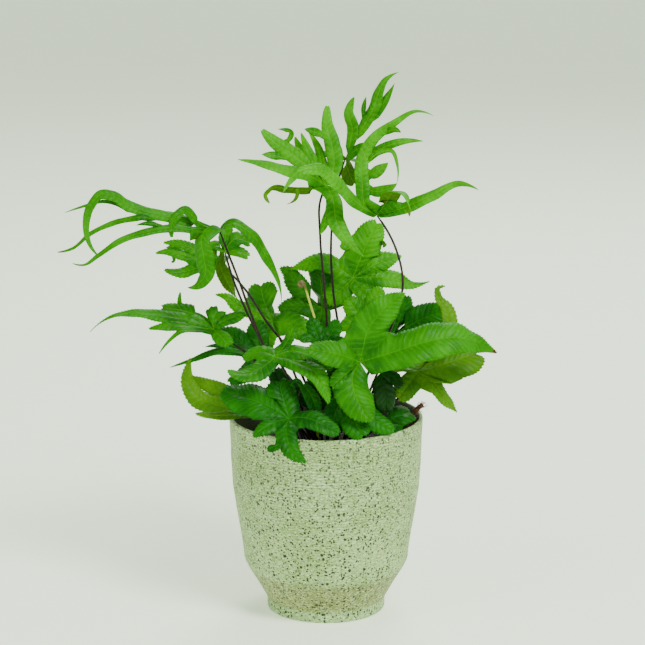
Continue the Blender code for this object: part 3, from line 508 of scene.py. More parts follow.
class Sheet:
    """The points, the faces and the map coordinates of one blade."""

    def __init__(self):
        self.points = []
        self.faces = []
        self.maps = []

    def add(self, point):
        self.points.append(np.asarray(point, float))
        return len(self.points) - 1

    def strip(self, before, after):
        """Faces between two rows. A row is (point numbers, map coordinates)."""
        (first, near), (second, far) = before, after
        for left in range(len(first) - 1):
            ring = [(first[left], near[left]), (first[left + 1], near[left + 1]),
                    (second[left + 1], far[left + 1]), (second[left], far[left])]
            kept = [ring[i] for i in range(4) if ring[i][0] != ring[i - 1][0]]
            if len({number for number, _ in kept}) >= 3:
                self.faces.append([number for number, _ in kept])
                self.maps.append([spot for _, spot in kept])


# %% One row of a lobe
def make_row(sheet, rib, share, left, right, columns):
    """A row between two edge points that are already there."""
    point, _, facing = rib.at(share)
    middle = sheet.add(point)
    numbers, across = [middle], [0.0]
    for edge, hand in ((left, -1), (right, 1)):
        end = sheet.points[edge]
        out = np.linalg.norm(end - point)
        for column in columns:
            if column == 1.0:
                number = edge
            else:
                lift = 0.11 * out * math.sin(math.pi * column)
                number = sheet.add(point + (end - point) * column + facing * lift)
            place = len(numbers) if hand > 0 else 0
            numbers.insert(place, number)
            across.insert(place, hand * out * column * CM)
    along = share * rib.length * CM
    return numbers, [(along, spot) for spot in across]


# %% The free part of a lobe, from the web to the tip
def grow_rows(sheet, rib, first, rows, columns):
    """The rows after those already made, then the side lobes on them."""
    count = max(4, round((1 - first) * rib.length / ROW_STEP))
    shares = [first + (1 - first) * n / count for n in range(count + 1)]
    taken = [(s["share"], s["hand"], s["span"] / rib.length) for s in rib.shape["sides"]]
    rows = [rows[-1]]
    for n, share in enumerate(shares[1:-1], 1):
        edges = []
        for hand in (-1, 1):
            covered = any(abs(share - s) < span and hand == h for s, h, span in taken)
            bite = 0.0 if covered else TOOTH[(n + (hand > 0)) % 3]
            edges.append(sheet.add(rib.edge(share, hand, bite)))
        rows.append(make_row(sheet, rib, share, *edges, columns))
        sheet.strip(rows[-2], rows[-1])
    tip = sheet.add(rib.at(1.0)[0])
    width = 2 * len(columns) + 1
    sheet.strip(rows[-1], ([tip] * width, [(rib.length * CM, 0.0)] * width))
    for shape in rib.shape["sides"]:
        grow_side(sheet, rib, shape, shares, rows)


def grow_side(sheet, parent, shape, shares, rows):
    """A side lobe on the part of its parent's edge that lies about its own share."""
    half = shape["span"] / parent.length
    inside = [n for n in range(len(rows)) if abs(shares[n] - shape["share"]) <= half]
    inside = inside[: len(inside) - (len(inside) + 1) % 2]
    if len(inside) < 3:
        return
    numbers = [rows[n][0][-1 if shape["hand"] > 0 else 0] for n in inside]
    if shape["hand"] > 0:
        numbers = numbers[::-1]
    each = len(numbers) // 2
    root = sheet.points[numbers[each]]
    rib = Midrib(root, shape, tuple(parent.at(shape["share"])[2]), 0.0)
    columns = tuple((n + 1) / each for n in range(each))
    across = [(0.0, (n - each) * CM) for n in range(len(numbers))]
    grow_rows(sheet, rib, 0.0, [(numbers, across)], columns)


# %% The whole blade
def in_order(ribs, face):
    """The lobes clockwise about the blade's face, beginning after the widest gap."""
    face = unit(face)
    first = unit(np.cross(face, (0.3, 0.9, 0.31)))
    second = np.cross(face, first)
    angles = []
    for rib in ribs:
        away = rib.sets_out()
        angles.append(math.atan2(away @ second, away @ first))
    order = sorted(range(len(ribs)), key=lambda i: -angles[i])
    gaps = [(angles[order[i - 1]] - angles[order[i]]) % (2 * math.pi)
            for i in range(len(order))]
    start = gaps.index(max(gaps))
    return [ribs[i] for i in order[start:] + order[:start]]


def reach_of_web(left, right):
    """How far from the stem the sheet between two lobes reaches."""
    cosine = float(unit(left.sets_out()) @ unit(right.sets_out()))
    angle = math.acos(max(-1.0, min(1.0, cosine)))
    width = (left.shape["width"] + right.shape["width"]) / 2
    shorter = min(left.length, right.length)
    wanted = 0.85 * width / max(math.tan(angle / 2), 0.2)
    return min(max(wanted, 0.14 * shorter), 0.42 * shorter)


def grow_blade(hub, face, lobes, tooth):
    """One blade as a sheet without thickness."""
    ribs = in_order([Midrib(hub, shape, face, tooth) for shape in lobes], face)
    sheet = Sheet()
    centre = sheet.add(hub)
    reaches = [reach_of_web(a, b) for a, b in zip(ribs, ribs[1:])]
    webs = []
    for left, right, reach in zip(ribs, ribs[1:], reaches):
        middle = (left.edge(reach / left.length, 1) + right.edge(reach / right.length, -1)) / 2
        webs.append([sheet.add(hub + (middle - hub) * (n + 1) / WEB_ROWS)
                     for n in range(WEB_ROWS)])
    for i, rib in enumerate(ribs):
        near = [reaches[n] for n in (i - 1, i) if 0 <= n < len(reaches)]
        first = float(np.mean(near)) / rib.length if near else 0.25
        width = 2 * len(COLUMNS) + 1
        rows = [([centre] * width, [(0.0, 0.0)] * width)]
        for n in range(WEB_ROWS):
            share = first * (n + 1) / WEB_ROWS
            left = webs[i - 1][n] if i > 0 else sheet.add(rib.edge(share, -1))
            right = webs[i][n] if i < len(webs) else sheet.add(rib.edge(share, 1))
            rows.append(make_row(sheet, rib, share, left, right, COLUMNS))
            sheet.strip(rows[-2], rows[-1])
        grow_rows(sheet, rib, first, rows, COLUMNS)
    return sheet


# %% [markdown]
# ## The leaves, one by one
# Each leaf is written down as its stem, the way it faces and its lobes, in millimetres from the
# middle of the underside of the pot. These are the same numbers as in the model.

# %% The table of leaves
LEAVES = {}


def add_leaf(name, back, face, stem, *lobes):
    """Writes down one leaf. back is how far all of it is moved away from an eye in front."""
    LEAVES[name] = {"back": back, "face": face, "stem": stem, "lobes": lobes}


add_leaf(
    "tall_front", -14, (0.2, -0.75, 0.6),
    [(12, -6, 0), (20, -20, 150), (34, -27, 183), (44, -23, 203), (50.5, -15, 228), (46, -5, 249),
     (33.5, 4, 269.5)],
    lobe([(50, 0, 275), (70, -4, 284.5), (88, -8, 293), (100, -10, 289)], 5.2, 0.3, 0.8, lean=-12),
    lobe([(39, -1, 278), (44, -6, 287), (51, -12, 286), (54.5, -14, 272)], 8.0, 0.36, 0.9,
         face=(-0.4, 0.85, 0.3), lean=-12),
    lobe([(26.5, 5, 275.5), (24, 8, 289.5), (24, 11, 305), (30, 12, 317.5), (45, 12, 330),
         (60, 11, 338), (71, 9, 335)], 5.3, 0.25, 1.0, 0.6, face=(0, -1, 0.15), lean=14, sides=(
        side(0.18, 1, [(36, 4, 286), (47, 2, 291.5)], 4.4, 4.6),
        side(0.28, 1, [(34, 6, 299), (41, 4, 305)], 4.6, 4.4),
        side(0.375, 1, [(35, 8, 311), (43, 5, 312.5), (47, 3, 303), (46.5, 2, 291)], 2.0, 2.6, 0.1,
             0.9),
        side(0.45, 1, [(38, 9, 314.5), (50, 7, 318.5), (64, 5, 319)], 3.2, 3.4, 0.3, 0.8),
        side(0.62, 1, [(45, 10, 326), (49.5, 9, 324)], 2.6, 2.8),
    )),
    lobe([(20, -2, 279), (8, -9, 293), (-4, -13, 303), (-16, -15, 302.5), (-25, -17, 294),
         (-28, -18, 289)], 6.2, 0.42, 0.8, lean=-16),
)
add_leaf(
    "tall_middle", 0, (-0.25, -0.75, 0.6),
    [(1, 0, 0), (1, -4, 160), (1, -5, 190), (-1.5, -4, 225), (-4, -2, 258), (-4, 3, 279),
     (0, 0, 290)],
    lobe([(5.5, 4, 303), (4, 8, 316), (0.8, 10, 329), (0.8, 10, 341.5)], 6.5, 0.4, 0.45, lean=12,
         sides=(
        side(0.62, -1, [(-8, 8, 325), (-14.5, 6, 327)], 3.2, 3.4),
    )),
    lobe([(-12, -2, 297.5), (-25, -4, 301), (-42, -6, 306), (-58, -8, 309)], 5.0, 0.35, 0.8,
         lean=-16),
    lobe([(-10, 2, 301), (-22, 4, 310.5), (-33, 5, 318), (-42, 4, 326.5)], 6.8, 0.5, 0.5, lean=10,
         sides=(
        side(0.55, -1, [(-34, 2, 310), (-42.5, 0, 311)], 3.2, 3.4),
        side(0.62, 1, [(-23, 6, 324), (-32, 5, 327)], 2.2, 2.6),
    )),
    lobe([(-9, 5, 301), (-16, 8, 311), (-20.5, 10, 321)], 4.6, 0.45, 0.6, lean=18),
    lobe([(-7, 6, 302), (-12, 10, 312), (-16.5, 12, 323.5)], 4.4, 0.4, 0.7),
    lobe([(-3, 8, 305), (-5.5, 11, 314), (-11.5, 13, 324)], 4.0, 0.4, 0.7, lean=16),
    lobe([(-12, -4, 288), (-25, -6, 289), (-35, -8, 290), (-39.5, -8, 286), (-37, -9, 280)], 4.8,
         0.4, 0.7, face=(0, 0.7, 0.7), sides=(
        side(0.38, -1, [(-20, -8, 283), (-26, -9, 279.5)], 1.4, 2.2),
    )),
    lobe([(4.5, -5, 282), (6, -7, 270), (13, -9, 257), (25, -12, 245)], 6.8, 0.35, 1.0,
         face=(0.1, -1, 0.2), lean=-12, sides=(
        side(0.33, 1, [(-1, -9, 267), (-4, -10, 259.5)], 2.8, 3.6),
    )),
)
add_leaf(
    "tall_back", 20, (-0.3, -0.8, 0.5),
    [(6, 8, 0), (8, 6, 165), (8.5, 6, 190), (5, 8, 215), (3.2, 8, 245), (4.5, 9, 270), (9, 11, 295),
     (13, 12, 307)],
    lobe([(16, 13, 316), (17.5, 13, 326), (15, 12, 337), (18.5, 10, 347.5)], 5.0, 0.5, 0.7, lean=14,
         sides=(
        side(0.34, 1, [(26, 13, 330), (31.5, 12, 340), (34.5, 11, 350), (39, 9, 359),
             (48, 6, 364.5)], 5.0, 3.6, 0.35, 1.1, sides=(
            side(0.2, -1, [(25, 12, 342), (26.5, 11, 348)], 2.2, 2.4),
            side(0.26, 1, [(37.5, 11, 343), (41.5, 10, 350), (45, 8, 357)], 3.4, 3.0),
        )),
    )),
    lobe([(20, 12, 312), (27, 11, 316)], 4.2, 0.5, 0.6),
    lobe([(13.5, 8, 303), (15.5, 5, 297), (18.5, 4, 291)], 8.0, 0.5, 0.6, face=(0.4, 0.8, 0.4)),
    lobe([(8, 12, 312), (3, 12, 320)], 3.6, 0.5, 0.7),
    lobe([(14, 20, 304), (18, 30, 303), (24, 38, 297)], 4.6, 0.5, 0.8, face=(0, -0.3, 0.95)),
    lobe([(6, 20, 306), (0, 32, 308), (-4, 42, 304)], 4.6, 0.5, 0.8, face=(0, -0.3, 0.95)),
)
add_leaf(
    "left_arching", -14, (-0.2, -0.5, 0.85),
    [(-8, -2, 0), (-26, -4, 150), (-40, -5, 179), (-50, -5, 205), (-58, -5, 228), (-64, -5, 244),
     (-70, -5, 260.5)],
    lobe([(-62, -9, 267), (-49.5, -11, 260), (-39, -11, 244), (-31, -10, 226), (-29.5, -9, 211)],
         5.4, 0.3, 1.6, 0.7, lean=12),
    lobe([(-75, -11, 266), (-81, -15, 259), (-80, -18, 245), (-79, -19, 236), (-83, -20, 229),
         (-91, -20, 226)], 7.8, 0.5, 0.8, droop=0.25),
    lobe([(-85, -7, 265), (-100, -8, 270), (-118, -9, 274.5), (-130, -9, 279), (-138, -10, 284.5),
         (-147, -10, 286), (-154, -11, 279), (-157.5, -12, 266), (-155.5, -13, 254),
         (-149, -13, 245)], 4.8, 0.48, 0.7, 0.75, face=(0, -0.75, 0.65), lean=-14, sides=(
        side(0.34, -1, [(-122, -13, 271.5), (-129, -14, 270)], 2.6, 3.2),
        side(0.46, -1, [(-146, -7, 281), (-158, -6, 278), (-172, -5, 273)], 1.5, 2.4, 0.3, 0.6),
    )),
    lobe([(-86, -2, 266), (-103, 4, 270), (-125, 10, 267), (-142, 14, 262.5), (-158, 16, 254.5),
         (-170, 17, 244.5), (-180, 17, 242)], 3.0, 0.35, 0.45, face=(0, -0.75, 0.65)),
    lobe([(-86, -9, 262), (-100, -11, 264), (-116, -12, 262), (-135, -13, 256), (-150, -14, 246),
         (-159, -14, 240), (-167, -14, 241)], 3.4, 0.35, 0.6, face=(0, -0.75, 0.65), lean=-26,
         sides=(
        side(0.38, 1, [(-116, -11, 267), (-125, -10, 265.5)], 2.2, 3.2),
    )),
    lobe([(-84, -11, 268), (-92, -14, 276), (-98, -18, 273), (-101, -19, 259.5)], 3.9, 0.6, 0.45,
         face=(0, -0.8, 0.6)),
)
add_leaf(
    "left_lower", 16, (-0.1, -0.7, 0.7),
    [(-5, 5, 0), (-14, 5, 155), (-26, 4, 179), (-40, 3, 198), (-55, 3, 221), (-66, 3, 232),
     (-75, 3, 235)],
    lobe([(-86, 2, 234), (-96, 0, 232), (-107, -2, 234)], 5.0, 0.5, 0.7),
    lobe([(-86, 4, 240), (-96, 4, 243), (-104, 4, 245), (-113, 4, 244)], 4.9, 0.4, 0.7, sides=(
        side(0.62, -1, [(-101, 3, 239.5), (-103, 3, 238)], 1.6, 2.4),
    )),
    lobe([(-84, 6, 243.5), (-93, 7, 248.5), (-108, 7, 250.5)], 4.6, 0.45, 0.7, sides=(
        side(0.6, -1, [(-101, 6, 248), (-107, 6, 247)], 1.8, 2.4),
    )),
    lobe([(-76, 8, 243), (-79, 14, 250)], 4.6, 0.5, 0.7),
    lobe([(-70, 12, 238), (-70, 24, 238), (-76, 34, 235)], 5.0, 0.5, 0.8, face=(0, -0.2, 0.95)),
)
add_leaf(
    "left_small", 4, (0.2, -0.5, 0.8),
    [(-10, 5, 0), (-27, 2, 150), (-41, 0, 180), (-52, 0, 203), (-60, 1, 222), (-65, 0, 238),
     (-67, 2, 245)],
    lobe([(-60, 6, 253), (-51, 8, 250)], 6.6, 0.5, 0.6),
    lobe([(-60, 1, 246), (-52, 0, 243)], 6.0, 0.5, 0.6),
    lobe([(-67, 6, 254), (-64, 10, 262)], 5.2, 0.5, 0.7),
    lobe([(-71, 9, 237), (-66, 12, 223), (-57, 13, 207)], 5.4, 0.4, 1.0),
    lobe([(-73, 4, 249), (-76, 2, 241)], 6.4, 0.5, 0.6),
)
add_leaf(
    "long_left", 0, (-0.1, -0.6, 0.8),
    [(-8, 10, 0), (-30, 8, 150), (-55, 4, 177), (-68, 1, 187), (-75, 0, 193)],
    lobe([(-92, -1, 199.5), (-110, -2, 203), (-128, -3, 205), (-142, -4, 203), (-157, -5, 192.5)],
         6.0, 0.3, 1.7, 0.6, lean=-14),
    lobe([(-85, 6, 200.5), (-97, 10, 204), (-109.5, 12, 205)], 7.4, 0.55, 0.5, 0.6),
    lobe([(-85, 10, 200), (-96.5, 16, 202), (-98, 18, 214.5)], 2.6, 0.6, 0.6),
    lobe([(-75, 3, 200), (-72, 6, 204)], 7.6, 0.55, 0.5, 0.6),
    lobe([(-69, 3, 197.5), (-62, 5, 200), (-54, 6, 202.5)], 5.6, 0.5, 0.6, 0.6),
    lobe([(-86, -7, 196), (-100, -12, 198.5), (-117, -15, 197)], 5.4, 0.5, 0.7, 0.6),
    lobe([(-84, -5, 193.5), (-96, -9, 194), (-104, -11, 188), (-111, -12, 179)], 2.4, 0.35, 0.8,
         lean=-14),
    lobe([(-70, -8, 190), (-64, -14, 186)], 6.4, 0.5, 0.6, 0.6),
)
add_leaf(
    "shade_left", 14, (-0.2, -0.6, 0.75),
    [(-13, -12, 0), (-28, -8, 150), (-44, -2, 174)],
    lobe([(-53, 2, 181), (-62, 6, 186), (-72, 9, 189)], 9.5, 0.5, 0.6, 0.7),
    lobe([(-56, -5, 178), (-72, -6, 179.5), (-88, -8, 174.5), (-104, -9, 169)], 3.6, 0.35, 0.9,
         sides=(
        side(0.36, 1, [(-76, -5, 183), (-81, -5, 182)], 2.0, 3.2),
    )),
    lobe([(-46, 8, 185), (-47, 16, 194)], 9.0, 0.5, 0.6, 0.7),
    lobe([(-50, -6, 168), (-58, -9, 162.5), (-64, -11, 159.5)], 7.6, 0.5, 0.6, 0.7),
)
add_leaf(
    "round_back", 22, (-0.4, -0.65, 0.65),
    [(-6, 14, 0), (-22, 16, 160), (-36, 16, 194)],
    lobe([(-39, 20, 201), (-42, 23, 208), (-44, 25, 217)], 13.5, 0.5, 0.7, 0.7),
    lobe([(-48, 14, 201), (-60, 12, 207), (-66, 12, 212), (-74, 12, 214)], 5.8, 0.4, 0.9, 0.6),
    lobe([(-28, 8, 196), (-20, 3, 194), (-13, 1, 190)], 10.4, 0.5, 0.5, 0.7),
    lobe([(-40, 6, 187), (-42, 2, 179)], 9.0, 0.5, 0.6, 0.7),
    lobe([(-34, 26, 196), (-36, 38, 195)], 9.0, 0.5, 0.6, 0.7, face=(0, -0.2, 0.95)),
)
add_leaf(
    "back_left", 24, (-0.35, -0.7, 0.6),
    [(0, 14, 0), (-2, 21, 170), (-3, 20, 203)],
    lobe([(-12, 19, 205), (-21, 18, 205), (-32, 17, 203)], 8.0, 0.5, 0.8, 0.6),
    lobe([(-13, 22, 211), (-20, 24, 219), (-25, 25, 226), (-31, 25, 229.5)], 8.4, 0.45, 0.9, 0.6),
    lobe([(-3, 25, 213), (-4, 28, 221), (-9, 29, 229)], 9.6, 0.5, 0.8, 0.6),
    lobe([(6, 22, 208), (15, 22, 213)], 8.0, 0.5, 0.7, 0.6),
    lobe([(-4, 11, 197), (-7, 4, 189)], 8.6, 0.5, 0.7, 0.7),
    lobe([(-6, 30, 203), (-12, 41, 200)], 7.0, 0.5, 0.7, 0.6, face=(0, -0.2, 0.95)),
)
add_leaf(
    "back_middle", 16, (0.25, -0.75, 0.6),
    [(10, 16, 0), (14, 28, 170), (15, 38, 206), (18, 32, 221)],
    lobe([(22, 34, 231), (27, 36, 243), (34.5, 38, 257.5)], 12.8, 0.45, 0.6, 0.8, sides=(
        side(0.45, -1, [(14, 35, 243), (10, 34, 244)], 4.0, 4.0, 0.5, 0.6),
        side(0.55, 1, [(38, 35, 244), (40, 34, 245)], 3.0, 3.8, 0.5, 0.6),
    )),
    lobe([(32, 29, 222.5), (46, 27, 221.5), (59, 25, 218), (70, 23, 221)], 8.2, 0.32, 1.5, 0.7,
         lean=14),
    lobe([(30, 32, 229), (40, 33, 233.5), (51, 33, 236)], 8.2, 0.45, 1.0, 0.6, lean=10),
    lobe([(8, 33, 228), (-2, 34, 232), (-12, 33, 230.5), (-25, 32, 227)], 8.0, 0.4, 1.2, 0.6),
    lobe([(9, 27, 213), (1, 24, 208)], 9.4, 0.5, 0.6, 0.7),
    lobe([(27, 27, 213), (36, 24, 206)], 9.4, 0.5, 0.6, 0.7),
)
add_leaf(
    "ruffled_middle", 8, (0, -0.75, 0.65),
    [(14, 4, 0), (20, 3, 160), (26, 2, 197)],
    lobe([(31, 5, 208), (36, 7, 220)], 8.0, 0.45, 0.8, 0.7),
    lobe([(20, 5, 205), (15, 7, 213)], 8.0, 0.45, 0.8, 0.7),
    lobe([(18, 0, 198), (13, -2, 192)], 6.6, 0.5, 0.7, 0.7),
    lobe([(36, 2, 203), (44, 2, 211)], 6.6, 0.5, 0.7, 0.7),
)
add_leaf(
    "back_right", 24, (0.5, -0.65, 0.6),
    [(16, 10, 0), (34, 6, 160), (44, 4, 187)],
    lobe([(50, 8, 200), (54, 11, 213)], 9.0, 0.5, 0.7, 0.6),
    lobe([(57, 5, 195), (67, 5, 200), (77, 4, 205)], 12.0, 0.5, 0.55, 0.6),
    lobe([(37, 9, 200), (35, 12, 209), (38, 13, 216)], 8.6, 0.45, 0.8, 0.7),
    lobe([(30, 8, 193), (20, 9, 201)], 7.4, 0.5, 0.8, 0.6),
    lobe([(48, 14, 187), (52, 25, 184)], 8.0, 0.5, 0.7, 0.6, face=(0, -0.2, 0.95)),
)
add_leaf(
    "right_low", -2, (0.45, -0.5, 0.75),
    [(18, -4, 0), (40, -12, 142), (55, -15, 156), (61, -17, 168)],
    lobe([(73, -14, 171), (86, -11, 174), (100, -8, 178)], 16.0, 0.5, 0.45, 0.75),
    lobe([(70, -21, 162), (78, -24, 153), (86.5, -26, 143)], 7.8, 0.4, 1.1, 0.6),
    lobe([(70, -4, 179), (82, 0, 194), (81, 2, 206), (75.5, 3, 214), (74.5, 3, 219.5),
         (79, 3, 222)], 7.4, 0.42, 0.9, face=(0.4, -0.85, 0.4), lean=16),
    lobe([(54, -22, 160), (48, -24, 152)], 8.6, 0.5, 0.7, 0.6),
    lobe([(52, -12, 170), (42, -10, 167)], 8.4, 0.5, 0.7, 0.6),
    lobe([(66, -4, 170), (72, 10, 168), (80, 22, 163)], 8.0, 0.5, 0.8, 0.6, face=(0.1, -0.2, 0.95)),
)
add_leaf(
    "front_right", -4, (0.1, -0.75, 0.66),
    [(6, -14, 0), (12, -30, 150), (19, -38, 170), (22, -42, 181)],
    lobe([(11, -45, 186), (0, -47, 189), (-11, -48, 191)], 10.6, 0.45, 0.75, 0.7, lean=-8),
    lobe([(24, -41, 190), (27, -40, 201.5), (35, -39, 213), (51, -37, 226)], 12.8, 0.42, 1.0, 0.7),
    lobe([(44, -47, 189), (63, -50, 196), (83, -49, 199), (98, -46, 195), (111, -43, 187.5)], 15.0,
         0.45, 1.0, 0.7, lean=10),
    lobe([(17, -49, 171), (20, -53, 159), (30, -57, 146)], 14.0, 0.35, 0.85, 0.7),
    lobe([(11, -48, 173), (4, -52, 167)], 7.4, 0.5, 0.8, 0.6),
)
add_leaf(
    "front_left", -6, (-0.05, -0.5, 0.85),
    [(-4, -16, 0), (-18, -26, 150), (-28, -32, 174), (-33.5, -34, 182.5)],
    lobe([(-18, -42, 180), (-7, -47, 175), (-1, -51, 165), (1.5, -54, 156.5)], 8.4, 0.42, 0.9, 0.6),
    lobe([(-22, -32, 186), (-10, -33, 183), (4, -36, 174)], 8.0, 0.5, 0.9, 0.6),
    lobe([(-44, -42, 176), (-55, -47, 174), (-64, -49, 177)], 9.0, 0.4, 0.9, 0.6),
    lobe([(-42, -27, 184), (-54, -24, 180)], 8.2, 0.5, 0.7, 0.6),
    lobe([(-26, -25, 190), (-22, -21, 197), (-19, -19, 202)], 4.2, 0.5, 0.8),
)
add_leaf(
    "over_rim", -3, (0, -0.6, 0.8),
    [(-8, -22, 0), (-16, -36, 134), (-24, -50, 145)],
    lobe([(-39, -46, 153), (-54, -41, 157), (-68, -36, 160)], 15.6, 0.42, 0.75, 0.75),
    lobe([(-36, -59, 143.5), (-47, -65, 137)], 6.2, 0.5, 0.9, 0.6),
    lobe([(-26, -63, 140), (-22, -73, 130), (-13, -78, 123.5)], 7.8, 0.4, 0.9, sides=(
        side(0.45, 1, [(-31, -73, 134), (-38, -74, 131)], 4.4, 4.0, 0.4, 0.8),
    )),
    lobe([(-12, -56, 147), (0, -60, 143), (8, -62, 138.5)], 8.6, 0.5, 0.7, 0.6),
    lobe([(-28, -42, 156), (-31, -36, 166)], 12.0, 0.5, 0.7, 0.7),
)
add_leaf(
    "left_rim", 0, (-0.4, -0.6, 0.7),
    [(-18, -10, 0), (-36, -18, 132), (-47, -22, 139)],
    lobe([(-58, -22, 143), (-70, -22, 146), (-84, -21, 151), (-91, -20, 161), (-89.5, -19, 178)],
         8.0, 0.45, 0.9, 0.6, lean=14),
    lobe([(-60, -29, 142), (-72, -32, 142.5), (-86, -34, 144)], 4.6, 0.5, 0.7),
    lobe([(-58, -10, 147), (-75, -4, 154), (-97, 2, 160)], 6.4, 0.5, 0.8),
)
add_leaf(
    "deep_left", 0, (0, -0.95, 0.3),
    [(-14, -15, 0), (-23, -10, 138), (-29, -18, 153)],
    lobe([(-37, -17, 150), (-44, -16, 149)], 8.4, 0.5, 0.7, 0.7),
    lobe([(-30, -22, 145), (-30, -24, 136)], 8.6, 0.5, 0.7, 0.7),
    lobe([(-20, -18, 153), (-11, -18, 150)], 8.6, 0.5, 0.7, 0.7),
    lobe([(-31, -16, 162), (-34, -15, 168)], 7.4, 0.5, 0.7, 0.7),
)
add_leaf(
    "deep_middle", 0, (0, -0.95, 0.3),
    [(7, -8, 0), (8, -6, 144), (6, -14, 162)],
    lobe([(4, -16, 153), (3, -17, 142)], 9.0, 0.5, 0.7, 0.7),
    lobe([(13, -15, 158), (17, -16, 150)], 7.6, 0.5, 0.7, 0.7),
    lobe([(-3, -15, 160), (-12, -15, 154)], 8.0, 0.5, 0.7, 0.7),
    lobe([(7, -13, 170), (9, -12, 177)], 7.6, 0.5, 0.7, 0.7),
    lobe([(14, -13, 166), (20, -13, 171)], 6.4, 0.5, 0.7, 0.7),
)
add_leaf(
    "shade_right", 0, (0.3, -0.8, 0.5),
    [(14, -12, 0), (28, -26, 150), (35, -34, 171)],
    lobe([(38, -36, 161), (39, -36, 147)], 9.4, 0.5, 0.6, 0.7),
    lobe([(43, -34, 169), (49, -35, 163)], 5.4, 0.5, 0.7, 0.6),
)
add_leaf(
    "low_middle", -2, (0.05, -0.75, 0.65),
    [(6, -20, 0), (11, -32, 142), (14, -39, 158)],
    lobe([(17, -47, 149), (20, -54, 141), (24, -58, 136)], 11.0, 0.5, 0.7, 0.7),
    lobe([(26, -45, 147), (37, -48, 140), (44, -49, 137)], 8.8, 0.5, 0.7, 0.7),
    lobe([(7, -44, 150), (4, -49, 140)], 8.6, 0.5, 0.7, 0.7),
)
add_leaf(
    "right_rim", 0, (0.3, -0.5, 0.8),
    [(20, -6, 0), (32, -17, 128), (40, -24, 135)],
    lobe([(48, -22, 139), (56, -14, 139.5)], 9.2, 0.5, 0.6, 0.7),
    lobe([(44, -30, 134), (48, -34, 130)], 7.0, 0.5, 0.7, 0.7),
    lobe([(35, -26, 139), (31, -27, 145)], 7.0, 0.5, 0.7, 0.7),
)
add_leaf(
    "folded", 0, (0.3, -0.7, 0.6),
    [(-14, -24, 0), (-21, -36, 142), (-18, -40, 157), (-15.5, -42, 166)],
    lobe([(-10, -45, 159), (-6, -48, 147)], 6.0, 0.5, 0.8, 0.6),
    lobe([(-20, -40, 168), (-23, -40, 164)], 2.6, 0.5, 0.8),
)
add_leaf(
    "small_middle", 0, (0, -0.7, 0.7),
    [(-2, -14, 0), (-5, -22, 150), (-4, -18, 175), (-3, -16, 186)],
    lobe([(-7, -12, 195), (-10, -10, 203)], 6.0, 0.5, 0.9, 0.6),
    lobe([(4, -12, 194), (7, -10, 202)], 6.0, 0.5, 0.9, 0.6),
    lobe([(-9, -17, 191), (-17, -20, 190)], 4.6, 0.5, 0.8),
    lobe([(5, -18, 189), (13, -21, 190)], 4.6, 0.5, 0.8),
)

CROZIER_STEM = [(-6, -2, 0), (-5, -6, 160), (-7, -8, 200), (-11, -9, 214), (-14.5, -10, 226)]
CROZIER_COIL = 2.6
CROZIER_TURNS = 1.25
STUB = [(50, -6, 117), (58, -4, 130), (61, -4, 139), (64.5, -5, 142)]

# %% [markdown]
# ## Growing the leaves
# Each sheet becomes a mesh and gets a third of a millimetre of thickness. The Solidify modifier
# gives its two sides different materials, because a leaf is duller and paler underneath.

# %% Nearer and further leaves
SOIL_TOP = 116.0
STEM_START = SOIL_TOP + 0.9
EYE = np.array((-2.4, -1626.0, 580.0))  # the eye that the plant turns its front to


def set_back(point, distance):
    """The point moved straight away from an eye in front, so that from there it stays put."""
    point = np.array(point, float)
    sight = point - EYE
    return tuple(point + sight * (distance / sight[1]))


def lobe_set_back(shape, distance):
    moved, lean, path = dict(shape), shape["lean"], shape["path"]
    steps = [distance + lean * (n + 1) / len(path) for n in range(len(path))]
    moved["path"] = [set_back(point, step) for point, step in zip(path, steps)]
    moved["sides"] = [lobe_set_back(small, distance + lean * small["share"])
                      for small in shape["sides"]]
    return moved


def stem_set_back(leaf):
    """The stem leans back more and more. Its foot stays where it is."""
    path = leaf["stem"]
    rise = path[-1][2] - STEM_START
    shares = [max(0.0, (point[2] - STEM_START) / rise) for point in path]
    return [set_back(point, leaf["back"] * share) for point, share in zip(path, shares)]


# %% Which leaves are fresh and which get the darker greens of painted shade
TONES = {
    "fresh": ("tall_front", "tall_middle", "tall_back", "left_lower", "left_small",
              "ruffled_middle", "back_middle", "round_back"),
    "olive": ("right_low", "left_rim"),
    # painted shade: these leaves get the shade greens, and the deep ones the darkest
    "shade": ("over_rim", "low_middle", "right_rim", "folded", "shade_left", "small_middle",
              "back_right"),
    "deep": ("deep_left", "deep_middle", "shade_right"),
}
SMOOTH_EDGED = ("tall_front", "tall_middle", "tall_back", "left_arching")
LEAF_THICKNESS = 0.3
TOOTH_HEIGHT = 0.75


def tone_of(name):
    return next((tone for tone, names in TONES.items() if name in names), "full")


def mesh_piece(name, points, faces, materials, maps=None):
    """A smooth mesh from points in millimetres."""
    mesh = bpy.data.meshes.new(name)
    mesh.from_pydata([tuple(point * MM) for point in np.asarray(points, float)], [], faces)
    if maps:
        layer = mesh.uv_layers.new(name="veins")
        flat = [spot for face in maps for spot in face]
        layer.data.foreach_set("uv", np.array(flat, np.float32).ravel())
    for material in materials:
        mesh.materials.append(material)
    mesh.shade_smooth()
    obj = bpy.data.objects.new(name, mesh)
    bpy.context.scene.collection.objects.link(obj)
    return obj


def stands_for(obj, node):
    """The new piece rides on the model and hides its plain node."""
    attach(obj, "root")
    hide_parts(node)
    return obj


